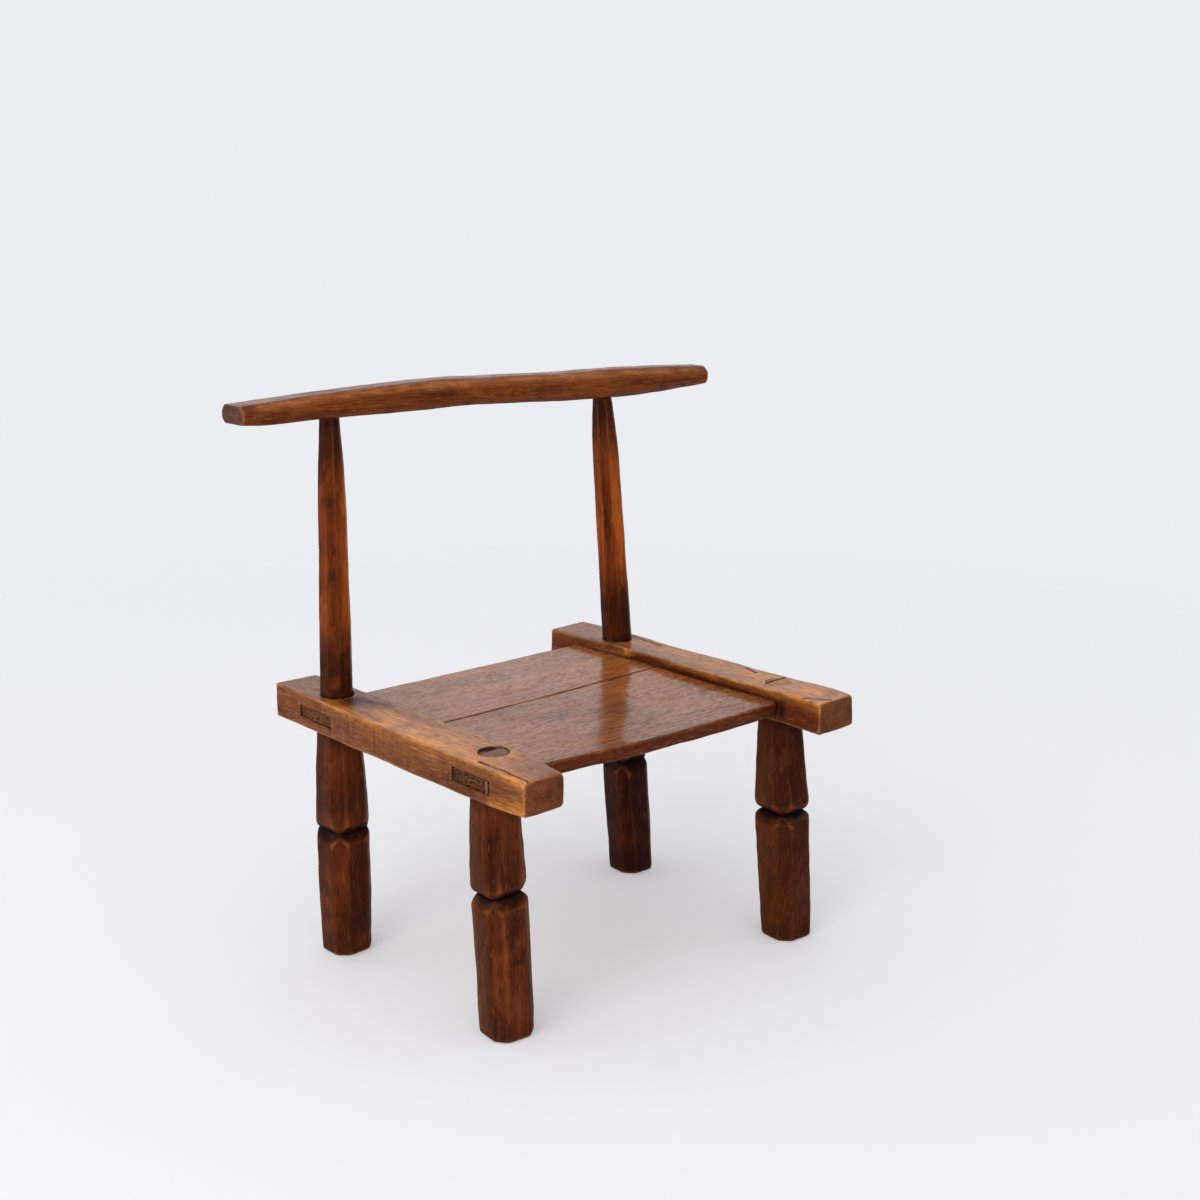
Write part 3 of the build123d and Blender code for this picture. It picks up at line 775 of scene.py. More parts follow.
def makeFrontLeg(side):
    key, node = "front" + side.title(), f"front_{side}_leg"
    leg, joint = legs[key], joints[key]
    low, high = cadPlace(f"{side}_side_rail")
    rings = legRings(leg, joint, low[2], high[2])
    tenonTop = topOfRail(key) - hewing["recess"] - hewing["seamRecess"] * leg["seam"]
    radius = hewing["frontTenon"] + hewing["tenonFit"] - hewing["seamFit"] * leg["seam"]
    rim = hewing["rim"] + hewing["seamRim"] * leg["seam"]
    tenon = [roundRing(joint["tenon"], z, radius) for z in np.linspace(low[2], tenonTop - rim, 12)]
    for turn in (0.5, 1.0, math.pi / 2):
        height = tenonTop - rim + rim * math.sin(turn)
        tenon.append(roundRing(joint["tenon"], height, radius - rim + rim * math.cos(turn)))
    points, faces = skinRings(np.concatenate([rings, tenon]))
    points[:, 2] += 0.25 * uneven(points, 6, leg["seed"]) * (points[:, 2] > tenonTop - 2)
    piece = makePiece(key + "Leg", wobbled(points, leg["seed"]), faces)
    cutAway(piece, [wedgeSpace(*cadPlace(node + "_wedge"))])
    spots = legSpots(leg, joint, low[2], 240)
    spots["grimeAndShade"].append((slitLine(side), dirtReach["slit"], 1.5))
    x, y = joint["foot"]
    # gold on the tenon's end, and painted light: a lighter stripe down the flats that face the light on the
    # left
    spots["gold"] = [([(*joint["tenon"], tenonTop)], 18, leg["topGold"]),
                     ([(x - 18, y + 16, z) for z in (10, 240)], 11, 0.35)]
    paint(piece, 2, spots, leg["seed"], keenest=0.2)
    finishPiece(piece, [node], legFinish)


def makeLegWedge(side):
    # the crescent that tightens a front tenon from behind
    key, node = "front" + side.title(), f"front_{side}_leg_wedge"
    leg, (low, high) = legs[key], cadPlace(node)
    x, y = joints[key]["tenon"]
    radius = hewing["frontTenon"] - wedging["loose"]
    rings = []
    top = topOfRail(key) - wedging["recess"] - wedging["dirtRecess"] * leg["wedgeDirt"]
    for z in np.linspace(low[2], top, 10):
        chord = low[1] - y - wedging["wider"] + (top - z) * wedging["slope"]
        reach = math.acos(min(chord / radius, 0.995))
        arc = [(x + radius * math.sin(a), y + radius * math.cos(a), z)
               for a in np.linspace(-reach, reach, 17)]
        flat = [(arc[-1][0] + (arc[0][0] - arc[-1][0]) * t, arc[-1][1] + wedging["flatBack"], z)
                for t in np.linspace(0.06, 0.94, 9)]
        rings.append(arc + flat)
    points, faces = skinRings(np.array(rings)[:, ::-1])
    for axis in range(3):
        points[:, axis] += 0.12 * uneven(points, 4, wedging["seed"] + axis)
    piece = makePiece(key + "LegWedge", points, faces)
    spots = {
        "grimeAndShade": [(slitLine(side), 1.6, 1.0), ([(x, y + 12, top)], 14, leg["wedgeDirt"])],
        "gold": [([(x, y + 10, top)], 18, leg["topGold"])],
    }
    paint(piece, 2, spots, wedging["seed"])
    finishPiece(piece, [node], wedgeFinish)


# half: half its width at shares of the way from the rail to the crest; bow: how far its middle
# strays there in x and y
posts = {
    "rearLeft": {
        "half": [(0, 15.6), (0.18, 15.4), (0.32, 14.8), (0.5, 14.1), (0.65, 13.5), (0.76, 12.7),
                 (0.86, 11.6), (0.94, 10.4), (1, 9.4)],
        "bow": ([(0, -0.4), (0.3, 0.1), (0.7, 0.7), (1, 0.4)],
                [(0, 0.3), (0.3, -0.1), (0.7, -0.6), (1, -0.4)]),
    },
    "rearRight": {
        "half": [(0, 16.2), (0.14, 16.0), (0.3, 15.4), (0.47, 14.9), (0.65, 14.4), (0.8, 13.8),
                 (0.92, 12.0), (1, 10.0)],
        "bow": ([(0, 0.0), (1, 0.0)], [(0, 0.0), (1, 0.0)]),
    },
}
whittling = {
    "step": 2.6, "fineStep": 1.6, "fineReach": 50,    # from ring to ring, and near the crest
    "scoop": 0.24, "scoopLength": 46, "paring": 0.5,
    "endRadius": 8.0, "endHeights": (-0.4, 4, 12),    # of its end inside the crest
}


def makePost(side):
    key, node = "rear" + side.title(), f"{side}_back_post"
    leg, joint, seed = legs[key], joints[key], legs[key]["seed"]
    low, high = cadPlace(f"{side}_side_rail")
    rings = list(legRings(leg, joint, low[2], high[2]))
    rings += [roundRing(joint["tenon"], z, hewing["rearTenon"]) for z in np.linspace(low[2], high[2] - 2, 8)]
    top = smoothLine(crest["underside"], crestShare(joint["head"][0]))
    fineFrom = top - whittling["fineReach"]
    z = np.concatenate([[high[2] - 1.9], np.arange(high[2], fineFrom, whittling["step"]),
                        np.arange(fineFrom, top - 0.6, whittling["fineStep"]), [top - 0.5]])
    rise = (z - high[2]) / (top - high[2])
    half = smoothLine(posts[key]["half"], rise)
    marks = knifeMarks(z, 8, seed + 7, whittling["scoop"], whittling["scoopLength"])
    halves = pared(np.stack([half] * 8, axis=1) + marks, z, seed + 7, whittling["paring"])
    share = np.clip(rise, 0, 1)[:, None]
    centres = np.array(joint["tenon"]) * (1 - share) + np.array(joint["head"]) * share
    centres += np.stack([smoothLine(bow, rise) for bow in posts[key]["bow"]], axis=1)
    rings += list(facetRing(centres, z, halves, facings(leg["twist"], len(z)), hewing["softness"]))
    rings += [roundRing(joint["head"], top + height, whittling["endRadius"])
              for height in whittling["endHeights"]]
    points, faces = skinRings(rings)
    piece = makePiece(side + "BackPost", wobbled(points, seed), faces)

    base, head = (*joint["tenon"], high[2]), (*joint["head"], top)

    def raised(place, height):
        return (*place[:2], place[2] + height)

    def beside(stepX, stepY, *places):
        return [(x + stepX, y + stepY, z) for x, y, z in places]

    streakX, streakY, streakGold = leg["streak"]
    spots = legSpots(leg, joint, low[2], 246)
    spots["grimeAndShade"] += [([base], 20, 0.8), ([head], 16, 0.7)]
    spots["stain"] += [
        ([base, head], 40, leg["postStain"]),
        ([raised(head, -20), head], 62, 0.9),
        (beside(-8, -13, base, head), 9, leg["faceStain"]),
        ([base, raised(base, 40)], 40, 1.0),
    ]
    spots["gold"] = [(beside(streakX, streakY, raised(base, 70), head), 6, streakGold)]
    paint(piece, 2, spots, seed, keenest=0.2)
    finishPiece(piece, [node], postFinish)


crest = {
    "start": (-301.0, 138.2), "end": (299.2, 124.7),    # the middles of its two end faces
    # share of its length, and height there in mm
    "topside": [(0.0, 576.6), (0.06, 578.4), (0.12, 580.6), (0.18, 582.4), (0.32, 585.6), (0.42, 586.0),
                (0.47, 584.8), (0.52, 584.4), (0.65, 582.2), (0.74, 582.4), (0.84, 581.4), (0.95, 579.0),
                (1.0, 577.4)],
    "underside": [(0.0, 558.4), (0.02, 557.4), (0.08, 556.8), (0.18, 557.4), (0.32, 556.8), (0.42, 557.6),
                  (0.54, 555.2), (0.70, 551.6), (0.78, 551.0), (0.88, 552.4), (0.95, 555.0), (1.0, 557.2)],
    "depth": [(0.0, 40.0), (0.1, 40.0), (0.3, 41.0), (0.5, 42.0), (0.7, 41.0), (0.9, 37.5), (1.0, 34.0)],
    "topBevel": 0.30, "underBevel": 0.22,    # of its height
    "scoop": 0.4, "scoopLength": 52, "paring": 0.9,
    "softness": 40,
    "endRound": 1.6,
    "step": 2.6,
    "seed": 21,
    # at these places from its left end: dirt under its front, and gold on its upper front edge
    "grimeAt": (30, 160, 300, 430, 570), "goldAt": (20, 150, 300, 450, 580),
}


def crestShare(x):
    return (x - crest["start"][0]) / (crest["end"][0] - crest["start"][0])


def makeCrest():
    start, end = np.array(crest["start"]), np.array(crest["end"])
    length = np.linalg.norm(end - start)
    along = (end - start) / length
    side = np.array([along[1], -along[0]])
    ends = crest["endRound"] * (1 - np.cos(np.linspace(0, math.pi / 2, 6)))
    middle = np.arange(crest["endRound"] + 1, length - crest["endRound"], crest["step"])
    places = np.concatenate([ends, middle, (length - ends)[::-1]])
    share = places / length
    top = smoothLine(crest["topside"], share)
    bottom = smoothLine(crest["underside"], share)
    tall, wide = (top - bottom) / 2, smoothLine(crest["depth"], share) / 2
    fromEnd = np.minimum(places, length - places)
    t = np.clip(fromEnd / crest["endRound"], 0, 1)
    rounding = crest["endRound"] * (1 - np.sqrt(1 - (1 - t) ** 2))

    # flats in turn: front, upper bevel, top, upper bevel, back, lower bevel, underside, lower bevel
    corner = (wide + tall) / math.sqrt(2)
    upper, lower = (corner - tall * 2 * crest[bevel] / math.sqrt(2)
                    for bevel in ("topBevel", "underBevel"))
    flats = np.stack([wide, upper, tall, upper, wide, lower, tall, lower], axis=1)
    marks = knifeMarks(places, 8, crest["seed"], crest["scoop"], crest["scoopLength"])
    marks[:, 2::4] *= 0.3      # top and underside follow their own lines
    halves = pared(flats + marks, places, crest["seed"], crest["paring"]) - rounding[:, None]
    section = facetRing(np.zeros((len(places), 2)), places, halves, facings(0, len(places)),
                        crest["softness"])
    rings = np.empty_like(section)
    rings[:, :, :2] = start + along * places[:, None, None] + side * section[:, :, 0:1]
    rings[:, :, 2] = ((top + bottom) / 2)[:, None] + section[:, :, 1]
    points, faces = skinRings(rings)
    points[:, 2] += 0.2 * uneven(points, 14, crest["seed"])
    piece = makePiece("crestRail", points, faces)

    def edgePath(stations, toFront, line, lift):
        # along the crest, this far in front of its middle and above one of its lines
        return [(*(start + along * place + side * toFront), smoothLine(crest[line], place / length) + lift)
                for place in stations]

    spots = {"grimeAndShade": [(edgePath(crest["grimeAt"], 12, "underside", 1), 4, 0.7)],
             "gold": [(edgePath(crest["goldAt"], 16, "topside", -3), 5, 0.5)]}
    for key in ("rearLeft", "rearRight"):
        x, y = joints[key]["head"]
        spots["grimeAndShade"].append(([(x, y, smoothLine(crest["underside"], crestShare(x)))], 20, 0.9))
    paint(piece, 0, spots, crest["seed"], keenest=0.25)
    finishPiece(piece, ["crest_rail"], crestFinish)


# outer, inner, bottom, top: place along the rail, and x or z there; softer: path in the plain block,
# how far it reaches, and how much rounder the edges are there; lumps: depth, size and a shift of the
# seed; cracks: path, width and depth; gold, grime, stain, sawn: path, reach and strength
sideRails = {
    "left": {
        "seed": 31, "outerSign": -1,
        "outer": [(-191.5, -225.2), (-150, -226.0), (-40, -226.2), (80, -225.8), (150, -226.4),
                  (203.5, -228.0)],
        "inner": [(-191.5, -178.0), (-184, -178.4), (-146, -175.2), (-73, -171.4), (-12, -171.8),
                  (46, -170.8), (141, -174.2), (203.5, -179.2)],
        "bottom": [(-191.5, 245.6), (-150, 244.4), (-100, 243.8), (0, 243.6), (60, 243.8), (140, 244.4),
                   (203.5, 245.6)],
        "top": [(-191.5, 278.4), (-150, 278.9), (-60, 278.7), (30, 278.5), (120, 279.2), (170, 280.2),
                (203.5, 281.0)],
        "edgeRound": 1.9, "roundVary": 0.9, "lumps": [(0.5, 46, 0), (0.22, 13, 2)],
        "softer": [
            ([(26, -197, -12), (26, -197, 12)], 20, 4.0),
            ([(-26, -197, -16), (-26, -197, 16)], 12, 1.6),
            ([(26, 197, 0)], 24, 3.0),
        ],
        "cracks": [([(-219.6, -122, 279), (-217.8, -156, 279), (-219.7, -190, 279)], 1.1, 4.0)],
        "gold": [
            ([(-222, 112, 285), (-217, 60, 285), (-214, -30, 285), (-218, -120, 285), (-222, -190, 285)],
             11, 1.1),
            ([(-224, 60, 281), (-222, 30, 281), (-221, -30, 281), (-223, -120, 281), (-225, -190, 281)],
             4, 1.4),
            ([(-226, -191, 268), (-226, -191, 246)], 3, 0.6),
            ([(-226, -185, 250), (-226, -150, 247)], 9, 0.6),
            ([(-205, 40, 302), (-200, -120, 302)], 32, 0.9),
        ],
        "grimeAndShade": [([(-201, 108, 279)], 15, 0.8), ([(-190, 96, 280), (-184, 70, 280)], 7, 0.6)],
        "stain": [
            ([(-226, -160, 262), (-226, -80, 256)], 18, 0.5),
            ([(-203, 96, 280)], 18, 0.9),
            ([(-214, 92, 280), (-216, 40, 280)], 7, 0.7),
            ([(-186, 60, 279), (-184, -20, 279)], 6, 0.5),
            ([(-190, -150, 279), (-182, -186, 279)], 14, 0.3),
            ([(-210, 150, 281), (-190, 200, 281)], 18, 0.25),
            ([(-226, 190, 262), (-226, 110, 262)], 20, 0.6),
            ([(-226, 100, 262), (-226, -60, 254)], 14, 0.55),
            ([(-200, -191, 262)], 24, 0.3),
        ],
        "sawn": [
            ([(-226, 120, 262), (-226, -20, 262)], 30, 0.8),
            ([(-226, -20, 262), (-226, -110, 262)], 22, 0.5),
        ],
    },
    "right": {
        "seed": 37, "outerSign": 1,
        "outer": [(-203.5, 200.2), (-158, 199.4), (-111, 198.2), (-32, 196.4), (43, 194.8), (128, 197.2),
                  (203.5, 192.8)],
        "inner": [(-203.5, 146.4), (-159, 148.0), (-80, 145.8), (-7, 145.8), (62, 147.6), (74, 145.0),
                  (86, 147.6), (124, 143.6), (192, 139.6), (203.5, 139.8)],
        "bottom": [(-203.5, 243.0), (-100, 243.8), (0, 244.2), (100, 243.6), (203.5, 243.4)],
        "top": [(-203.5, 276.4), (-160, 276.2), (-120, 275.6), (-20, 275.4), (60, 275.0), (92, 275.3),
                (203.5, 275.4)],
        "edgeRound": 2.0, "roundVary": 1.0, "lumps": [(0.5, 46, 0), (0.22, 13, 2)],
        "softer": [
            ([(26, -203, -16), (26, -203, 16)], 16, 2.0),
            ([(26, -203, 10)], 14, 2.0),
            ([(-26, 203, 0)], 26, 3.5),
        ],
        "cracks": [
            ([(188, 114, 275.5), (186.5, 92, 275.5), (184.6, 62, 275.5)], 1.2, 4.0),
            ([(190, -62, 275.5), (187, -72, 275.5), (184.5, -82, 275.5)], 1.4, 3.0),
            ([(150, -178, 276), (158, -190, 276), (166, -200, 276)], 0.8, 2.0),
            ([(188, -114.4, 275.5), (191, -114.2, 275.5), (195, -113.7, 275.5)], 1.8, 3.0),
        ],
        "gold": [
            ([(150, -200, 282), (149, -100, 282), (150, 60, 282)], 12, 1.1),
            ([(147, -200, 277), (146, -100, 277), (148, 60, 277)], 4, 1.4),
            ([(172, -200, 300), (168, -60, 300), (164, 80, 300)], 36, 1.0),
            ([(168, 80, 300), (166, 200, 300)], 34, 0.2),
            ([(146, 80, 271), (146, -60, 271)], 6, 1.6),
            ([(147, -203, 275), (147, -203, 246)], 3, 0.8),
        ],
        "grimeAndShade": [
            ([(146, -150, 265), (146, 100, 265)], 2.4, 0.9),
            ([(150, 108, 275)], 12, 0.6),
            # painted shade in the gap at the seat's front right corner
            ([(147, -151, 264), (147, -151, 252)], 5, 1.3),
        ],
        "stain": [
            # painted shade on the inner face, from the front to the middle
            ([(146, -196, 250), (146, -60, 256), (146, 60, 260)], 20, 1.3),
            ([(170, -203, 258)], 20, 0.3),
            ([(140, 203, 260), (143, 150, 262)], 16, 0.9),
        ],
        "sawn": [],
    },
}
sunk = 0.3                     # uneven faces lie this much deeper, so that few lumps stand out


def lumpy(points, seed, waves):
    return sum(depth * uneven(points, size, seed + shift) for depth, size, shift in waves)


def makeRail(side):
    node = f"{side}_side_rail"
    rail, seed = sideRails[side], sideRails[side]["seed"]
    low, high = cadPlace(node)
    size = high - low
    width = 52.0               # of the plain block, before it takes its own outline
    block, out, faces = wornBlock((width, size[1], size[2]), 3.0, rail["edgeRound"], rail["roundVary"],
                                  seed, rail["softer"])
    y = block[:, 1] + (low[1] + high[1]) / 2
    share = 0.5 - rail["outerSign"] * block[:, 0] / width
    outer, inner, bottom, top = (smoothLine(rail[line], y) for line in ("outer", "inner", "bottom", "top"))
    shaped = np.stack([outer + (inner - outer) * share, y,
                       bottom + (top - bottom) * (block[:, 2] / size[2] + 0.5)], axis=1)
    shaped += out * (lumpy(shaped, seed, rail["lumps"]) - sunk)[:, None]
    shaped[:, 1] = np.clip(shaped[:, 1], low[1] + 0.1, high[1] - 0.1)
    piece = makePiece(side + "Rail", shaped, faces)

    slots = [tongues[side + end] for end in ("Front", "Rear")]
    cutters = [slotCutter(tongue, seed + index) for index, tongue in enumerate(slots)]
    spots = {mark: list(rail[mark]) for mark in ("gold", "grimeAndShade", "stain", "sawn")}
    for end in ("front", "rear"):
        key = end + side.title()
        centre, radius, seam = joints[key]["tenon"], hewing[end + "Tenon"], legs[key]["seam"]
        cutters.append(holeCutter(centre, radius + 0.2 * seam, low[2] - 6, high[2] + 6))
        spots["grimeAndShade"].append((circlePath(centre, topOfRail(key), radius), dirtReach["seam"], seam))
    spots["grimeAndShade"].append((slitLine(side), dirtReach["slit"], 1.5))
    for index, (path, crackWidth, depth) in enumerate(rail["cracks"]):
        spots["grimeAndShade"].append((path, dirtReach["crack"], 1.5))
        cutters.append(crackCutter(path, crackWidth, depth, (0, 0, -1), index + 1))
    cutAway(piece, cutters)
    for tongue in slots:
        face, (front, rear), (under, above) = (tongue[part] for part in ("face", "slot", "level"))
        corners = [(front, under), (front, above), (rear, above), (rear, under), (front, under)]
        spots["grimeAndShade"].append(([(face, *corner) for corner in corners], dirtReach["mouth"], 0.8))
    paint(piece, 1, spots, seed)
    finishPiece(piece, [node], railFinish)


def slotCutter(tongue, seed):
    # the mouth of a tongue slot, a little ragged
    (front, rear), (under, above) = tongue["slot"], tongue["level"]
    points, out, faces = wornBlock((90, rear - front, above - under), 2.4, 0.6, 0.2, seed)
    edge = 0.6 * uneven(points, 7, seed + 3) + tongue["ragged"] * uneven(points, 2.6, seed)
    points += out * edge[:, None] * np.array([0, 1, 1])
    points[:, 2] += tongue["lean"] * points[:, 1] / (rear - front)
    points += (tongue["face"], (front + rear) / 2, (under + above) / 2)
    return makePiece("slot", points, faces)


def holeCutter(centre, radius, low, high):
    # a hole that isn't quite round
    rings = [roundRing(centre, z, radius) for z in np.linspace(low, high, 14)]
    points, faces = skinRings(rings)
    points[:, 0] += 0.3 * uneven(points, 8, radius)
    points[:, 1] += 0.3 * uneven(points, 8, radius + 2)
    return makePiece("hole", points, faces)


def crackCutter(path, width, depth, inward, seed):
    # a drying crack: a thin blade along the path, pointed at both ends and at its root
    path, inward = np.array(path, float), np.array(inward, float)
    places = np.concatenate([[0], np.cumsum(np.linalg.norm(np.diff(path, axis=0), axis=1))])
    count = max(8, int(places[-1] / 2.5))
    at = np.linspace(0, places[-1], count)
    line = np.stack([np.interp(at, places, path[:, axis]) for axis in range(3)], axis=1)
    across = np.cross(np.gradient(line, axis=0), inward)
    across /= np.linalg.norm(across, axis=1, keepdims=True)
    rng = np.random.default_rng(seed)
    line += across * (0.45 * rng.uniform(-1, 1, count))[:, None]
    taper = np.sqrt(np.clip(np.sin(math.pi * np.linspace(0.02, 0.98, count)), 0, 1))
    half = across * (width / 2 * taper * rng.uniform(0.7, 1.3, count))[:, None]
    root = inward * (depth * taper)[:, None]
    above = inward * 3         # the blade starts this far above the wood
    rings = np.stack([line - half - above, line + half - above, line + half * 0.8,
                      line + root, line - half * 0.8], axis=1)
    points, faces = skinRings(rings, capSteps=1)
    return makePiece("crack", points, faces)


seat = {
    "split": [(-175, 21.0), (0, 25.0), (150, 29.0)],     # the line between the boards, y at x
    "frontEdge": [(-178, -137.0), (-155, -136.2), (-132, -137.0), (-91, -142.0), (-45, -146.2),
                  (30, -148.8), (90, -148.6), (150, -146.6)],
    "rearEdge": [(-175, 157.0), (0, 156.6), (150, 156.0)],
    "underside": [(-175, 251.8), (-60, 251.3), (0, 251.2), (60, 250.9), (150, 250.9)],
    "gap": 0.9,
    "leftFit": 0.5, "rightFit": -0.9,          # how far its ends are from the rails, in x
    "dish": 0.8, "dishX": 170, "dishY": 190,   # how deep it is worn, and where that ends
    "lumps": [(0.45, 60, 0), (0.26, 22, 1)],   # depth, size and a shift of the seed
    "underLumps": [(0.8, 26, 5)],              # the same, below only
    "thickness": 15.0, "depth": 160.0, "span": 316.0,    # of the plain blocks
    # reach and strength of the dirt along the rails, in the line between the boards, of the painted shade
    # in the gap at the front right corner, and of the stain below the front edge
    "railDirt": (4, 0.9), "splitDirt": (1.5, 1.6), "cornerShade": (5, 1.5), "edgeStain": (10, 1.4),
    "corner": (147, -147),
    "tongueStain": 12,         # reach
}
# face: where it comes out, x; slot and tongue: where they are there, y; level: the height of both, z;
# lean: how much more the rear end of the slot rises; inside: where it leaves the board, x
tongues = {
    "leftFront": {"face": -226.0, "slot": (-143.4, -90.5), "tongue": (-137.4, -92.0),
                  "level": (254.6, 267.6), "lean": 0.5, "ragged": 0.9, "inside": -160, "stain": 0.8,
                  "wedgeSeed": 19},
    "leftRear": {"face": -226.0, "slot": (105.0, 160.0), "tongue": (107.4, 158.6),
                 "level": (254.6, 266.6), "lean": 1.0, "ragged": 0.9, "inside": -160, "stain": 0.0,
                 "wedgeSeed": 16},
    "rightFront": {"face": 197.0, "slot": (-146.8, -89.4), "tongue": (-142.6, -90.0),
                   "level": (250.3, 266.7), "lean": 0.0, "ragged": 0.5, "inside": 135, "stain": 0.3,
                   "wedgeSeed": 20},
    "rightRear": {"face": 197.0, "slot": (93.2, 155.6), "tongue": (97.0, 155.0),
                  "level": (250.3, 266.7), "lean": 0.0, "ragged": 0.5, "inside": 130, "stain": 0.3,
                  "wedgeSeed": 17},
}


def makeBoard(end, front, rear, seed):
    node, top = f"seat_{end}_board", seatHigh[2]
    sides = [tongues[side + end.title()] for side in ("left", "right")]
    size = (seat["span"], seat["depth"], seat["thickness"])
    block, out, faces = wornBlock(size, 3.0, 2.0, 1.0, seed)
    along, across, rise = (block / size + 0.5).T
    x = block[:, 0]
    for _ in range(2):         # the ends follow the rails, and the edges follow the ends
        y = smoothLine(front, x) * (1 - across) + smoothLine(rear, x) * across
        leftEnd = smoothLine(sideRails["left"]["inner"], y) + seat["leftFit"]
        rightEnd = smoothLine(sideRails["right"]["inner"], y) + seat["rightFit"]
        x = leftEnd * (1 - along) + rightEnd * along
    bottom = smoothLine(seat["underside"], x)
    shaped = np.stack([x, y, bottom + (top - bottom) * rise], axis=1)
    sag = np.clip(1 - (x / seat["dishX"]) ** 2, 0, 1) * np.clip(1 - (y / seat["dishY"]) ** 2, 0, 1)
    shaped[:, 2] -= seat["dish"] * sag * rise
    lumps = lumpy(shaped, seed, seat["lumps"])
    underLumps = lumpy(shaped, seed, seat["underLumps"]) * (rise < 0.5)
    shaped += out * (lumps + underLumps - sunk)[:, None] * np.array([0, 1, 1])
    piece = makePiece("seat" + end.title(), shaped, faces)
    cutAway(piece, [tongueBlock(tongue, seed + index) for index, tongue in enumerate(sides)], "UNION")
    cutters, grimeAndShade, stain = [], [], []
    for index, tongue in enumerate(sides):
        cutters += tongueCracks(tongue, seed + index)
        level = sum(tongue["level"]) / 2
        endFace = [(tongue["face"], y, level) for y in tongue["tongue"]]
        stain.append((endFace, seat["tongueStain"], tongue["stain"]))
    cutAway(piece, cutters)
    for side in ("left", "right"):
        edge = [(smoothLine(sideRails[side]["inner"], y), y, top) for y in (-150, -75, 0, 75, 150)]
        grimeAndShade.append((edge, *seat["railDirt"]))
    split = rear if end == "front" else front
    grimeAndShade.append(([(*place, top) for place in split], *seat["splitDirt"]))
    if end == "front":
        # painted shade in the gap at the front right corner
        corner = [(*seat["corner"], z) for z in (top, top - seat["thickness"])]
        stain.append(([(x, y - 3, top - 9) for x, y in front], *seat["edgeStain"]))
        grimeAndShade.append((corner, *seat["cornerShade"]))
    paint(piece, 0, {"grimeAndShade": grimeAndShade, "stain": stain}, seed)
    finishPiece(piece, [node], seatFinish)


tongueShort = 0.7              # a tongue ends this far inside the rail's outer face
splits = {
    "heights": (0.33, 0.68),   # shares of the tongue's height, of the two long ones
    "waver": 1.6, "width": 1.7, "depth": 4.0,
    "upright": 0.3, "uprightWidth": 1.2, "uprightDepth": 3.0,    # share of its width, and sizes
}
seatWedging = {
    "thickest": 2.6, "fit": 0.4, "behind": 0.3,    # room left before it, and between it and the tongue
    "lower": 0.8, "shorter": 0.2,                  # than its slot, and than in the CAD
}


def tongueBlock(tongue, seed):
    (front, rear), (under, above) = tongue["tongue"], tongue["level"]
    outside = tongue["face"] - tongueShort * math.copysign(1, tongue["face"])
    start, end = sorted((tongue["inside"], outside))
    size = (end - start, rear - front, seatHigh[2] - seatLow[2] - 1.0)
    points, out, faces = wornBlock(size, 1.6, 0.8, 0.4, seed)
    ragged = 0.35 * uneven(points, 5, seed) + tongue["ragged"] * uneven(points, 2.0, seed + 1)
    points += out * ragged[:, None] * np.array([1.5, 0.6, 0.6])
    points += ((start + end) / 2, (front + rear) / 2, (seatLow[2] + seatHigh[2]) / 2)

    # from the board out to the mouth of its slot it takes the height of the slot
    reach = np.clip((points[:, 0] - tongue["inside"]) / (tongue["face"] - tongue["inside"]), 0, 1) ** 0.6
    share = (points[:, 2] - seatLow[2]) / (seatHigh[2] - seatLow[2])
    lean = tongue["lean"] * (points[:, 1] - (front + rear) / 2) / (rear - front)
    mouth = under + 0.5 + (above - under - 1.0) * share + lean
    points[:, 2] += (mouth - points[:, 2]) * reach
    points[:, 0] = np.clip(points[:, 0], start - 0.4, end + 0.4)
    return makePiece("tongue", points, faces)


def tongueCracks(tongue, seed):
    # splits that run across the end grain of a tongue, and one up it
    face, (front, rear), (under, above) = (tongue[part] for part in ("face", "tongue", "level"))
    inward = (-math.copysign(1, face), 0, 0)
    face -= tongueShort * math.copysign(1, face)
    rng = np.random.default_rng(seed)
    cracks = []
    waver = splits["waver"]
    for height in splits["heights"]:
        level = under + height * (above - under)
        places = np.linspace(rear - rng.uniform(1, 14), front + rng.uniform(2, 16), 9)
        path = [(face, y, level + tongue["lean"] * (y - front) / (rear - front) + rng.uniform(-waver, waver))
                for y in places]
        cracks.append(crackCutter(path, splits["width"], splits["depth"], inward, seed + len(cracks)))
    y = front + (rear - front) * splits["upright"] + rng.uniform(-4, 4)
    path = [(face, y, above - 2), (face, y + rng.uniform(-4, 4), under + 4)]
    cracks.append(crackCutter(path, splits["uprightWidth"], splits["uprightDepth"], inward, seed + 7))
    return cracks


def makeSeatWedge(side, end):
    # a thin strip driven in beside the tongue; the slot stays open beyond it
    key, node = side + end.title(), f"{side}_{end}_seat_wedge"
    tongue, (low, high) = tongues[key], cadPlace(node)
    under, above = tongue["level"]
    front, seed = tongue["tongue"][0], tongue["wedgeSeed"]
    room = front - tongue["slot"][0] - seatWedging["fit"]
    size = np.array([high[0] - low[0] - seatWedging["shorter"], min(seatWedging["thickest"], room),
                     above - under - seatWedging["lower"]])
    points, out, faces = wornBlock(size, 2.0, 0.5, 0.2, seed)
    points += out * (0.15 * uneven(points, 4, seed))[:, None]
    y = front - seatWedging["behind"] - size[1] / 2
    points += ((low[0] + high[0]) / 2, y, (under + above) / 2 - tongue["lean"] / 2)
    piece = makePiece(key + "SeatWedge", points, faces)
    paint(piece, 0, {}, seed)
    finishPiece(piece, [node], wedgeFinish)


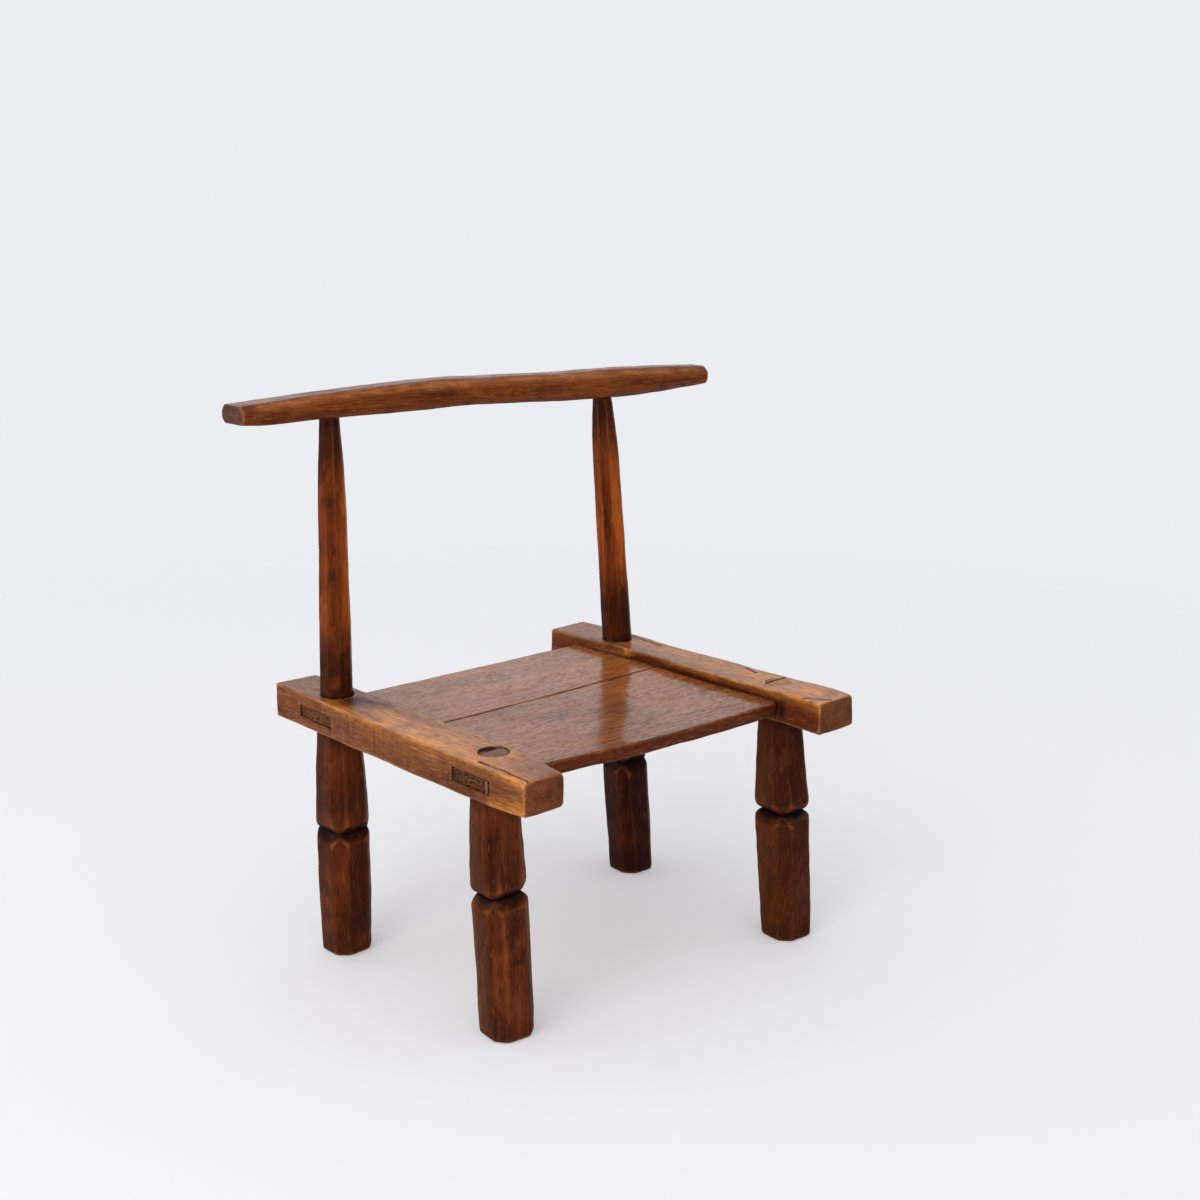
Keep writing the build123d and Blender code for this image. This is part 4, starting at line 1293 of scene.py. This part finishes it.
makeCrest()
print("crest made")
for makeKind in (makeFrontLeg, makePost, makeLegWedge):
    for side in ("left", "right"):
        makeKind(side)
print("legs and posts made")
for side in ("left", "right"):
    makeRail(side)
print("rails made")
halfGap = seat["gap"] / 2
makeBoard("front", seat["frontEdge"], [(x, y - halfGap) for x, y in seat["split"]], 51)
makeBoard("rear", [(x, y + halfGap) for x, y in seat["split"]], seat["rearEdge"], 57)
for side in ("left", "right"):
    for end in ("front", "rear"):
        makeSeatWedge(side, end)
print("seat made")


studio = {
    "floorColour": colour(239, 238, 238),
    "floorReach": 2600, "floorAround": 96, "floorRings": (1, 0.7, 0.46, 0.27, 0.12, 0.03),
    "fadeFrom": 1.2, "fadeTo": 2.4,            # metres from its middle
    "shadowLift": 0.3,         # how much of the floor is seen as plain backdrop
    "backdrop": colour(236, 237, 241),
    "around": 0.84, "fromLeft": 1.30,          # light that falls on the chair from the right and left
    "litFrom": (-1.0, 0.0, 0.1),
    "mirroredFront": 0.04, "mirroredBack": 1.1,    # what its sheen mirrors, towards the camera and away
    "mirroredFrom": (0.25, 0.97, 0.0),
    "keyPower": 20.0, "keySize": 1.6, "keyPlace": (-2.1, -0.7, 1.7), "keyAim": (0, 0, 0.25),
    "keyColour": (1.0, 0.985, 0.96),
}
camera = {
    "place": (-1.0788, -1.2260, 0.7659),
    "turn": -42.240, "down": 13.661, "roll": 0.323,
    "lens": 49.867, "sensor": 36.0,
}


def makeFloor():
    around = studio["floorAround"]
    rings = [roundRing((0, 0), 0, studio["floorReach"] * share, around) for share in studio["floorRings"]]
    faces = bandFaces(len(rings), around)
    faces.append(tuple(range((len(rings) - 1) * around, len(rings) * around)))
    floor = makePiece("floor", np.concatenate(rings), faces)
    f = Finish(bpy.data.materials.new("paleFloor"))
    skin = f.node("ShaderNodeBsdfDiffuse", None, {"Color": studio["floorColour"]})
    clear = f.node("ShaderNodeBsdfTransparent")
    plain = f.node("ShaderNodeEmission", None, {"Color": studio["backdrop"]})
    seen = f.node("ShaderNodeLightPath", out="Is Camera Ray")
    skin = f.node("ShaderNodeMixShader", None, {0: seen * studio["shadowLift"], 1: skin, 2: plain})
    distance = f.node("ShaderNodeVectorMath", {"operation": "LENGTH"}, {0: f.place}, out="Value")
    fade = distance.between(studio["fadeFrom"], studio["fadeTo"])
    floor.data.materials.append(f.show(f.node("ShaderNodeMixShader", None, {0: fade, 1: skin, 2: clear})))


def makeWorld():
    world = bpy.data.worlds.new("studio")
    bpy.context.scene.world = world
    f = Finish(world, "ShaderNodeOutputWorld", "Generated")

    def toward(direction):
        inputs = {0: f.place, 1: studio[direction]}
        return f.node("ShaderNodeVectorMath", {"operation": "DOT_PRODUCT"}, inputs, out="Value")

    lit = toward("litFrom").between(-1.0, 1.0, studio["around"], studio["fromLeft"])
    mirrored = toward("mirroredFrom").between(-0.5, 0.35, studio["mirroredFront"], studio["mirroredBack"])
    seen = f.node("ShaderNodeLightPath", out="Is Camera Ray")
    glossy = f.node("ShaderNodeLightPath", out="Is Glossy Ray")
    strength = mirrored * glossy + lit * (1 - glossy)
    strength = strength * (1 - seen) + seen
    f.show(f.node("ShaderNodeBackground", None, {"Color": studio["backdrop"], "Strength": strength}))


def makeKey():
    light = bpy.data.lights.new("key", "AREA")
    light.shape = "DISK"
    light.size = studio["keySize"]
    light.energy = studio["keyPower"]
    light.color = studio["keyColour"]
    key = bpy.data.objects.new("key", light)
    bpy.context.scene.collection.objects.link(key)
    key.location = studio["keyPlace"]
    aim = Vector(studio["keyAim"]) - key.location
    key.rotation_euler = aim.to_track_quat("-Z", "Y").to_euler()


def makeCamera():
    lens = bpy.data.cameras.new("camera")
    lens.lens = camera["lens"]
    lens.sensor_width = camera["sensor"]
    view = bpy.data.objects.new("camera", lens)
    bpy.context.scene.collection.objects.link(view)
    turn = Matrix.Rotation(math.radians(camera["turn"]), 4, "Z")
    tilt = Matrix.Rotation(math.radians(90 - camera["down"]), 4, "X")
    roll = Matrix.Rotation(math.radians(camera["roll"]), 4, "Z")
    view.matrix_world = Matrix.Translation(camera["place"]) @ turn @ tilt @ roll
    bpy.context.scene.camera = view


makeFloor()
makeWorld()
makeKey()
makeCamera()
bpy.context.scene.view_settings.view_transform = "Standard"
print("studio made")
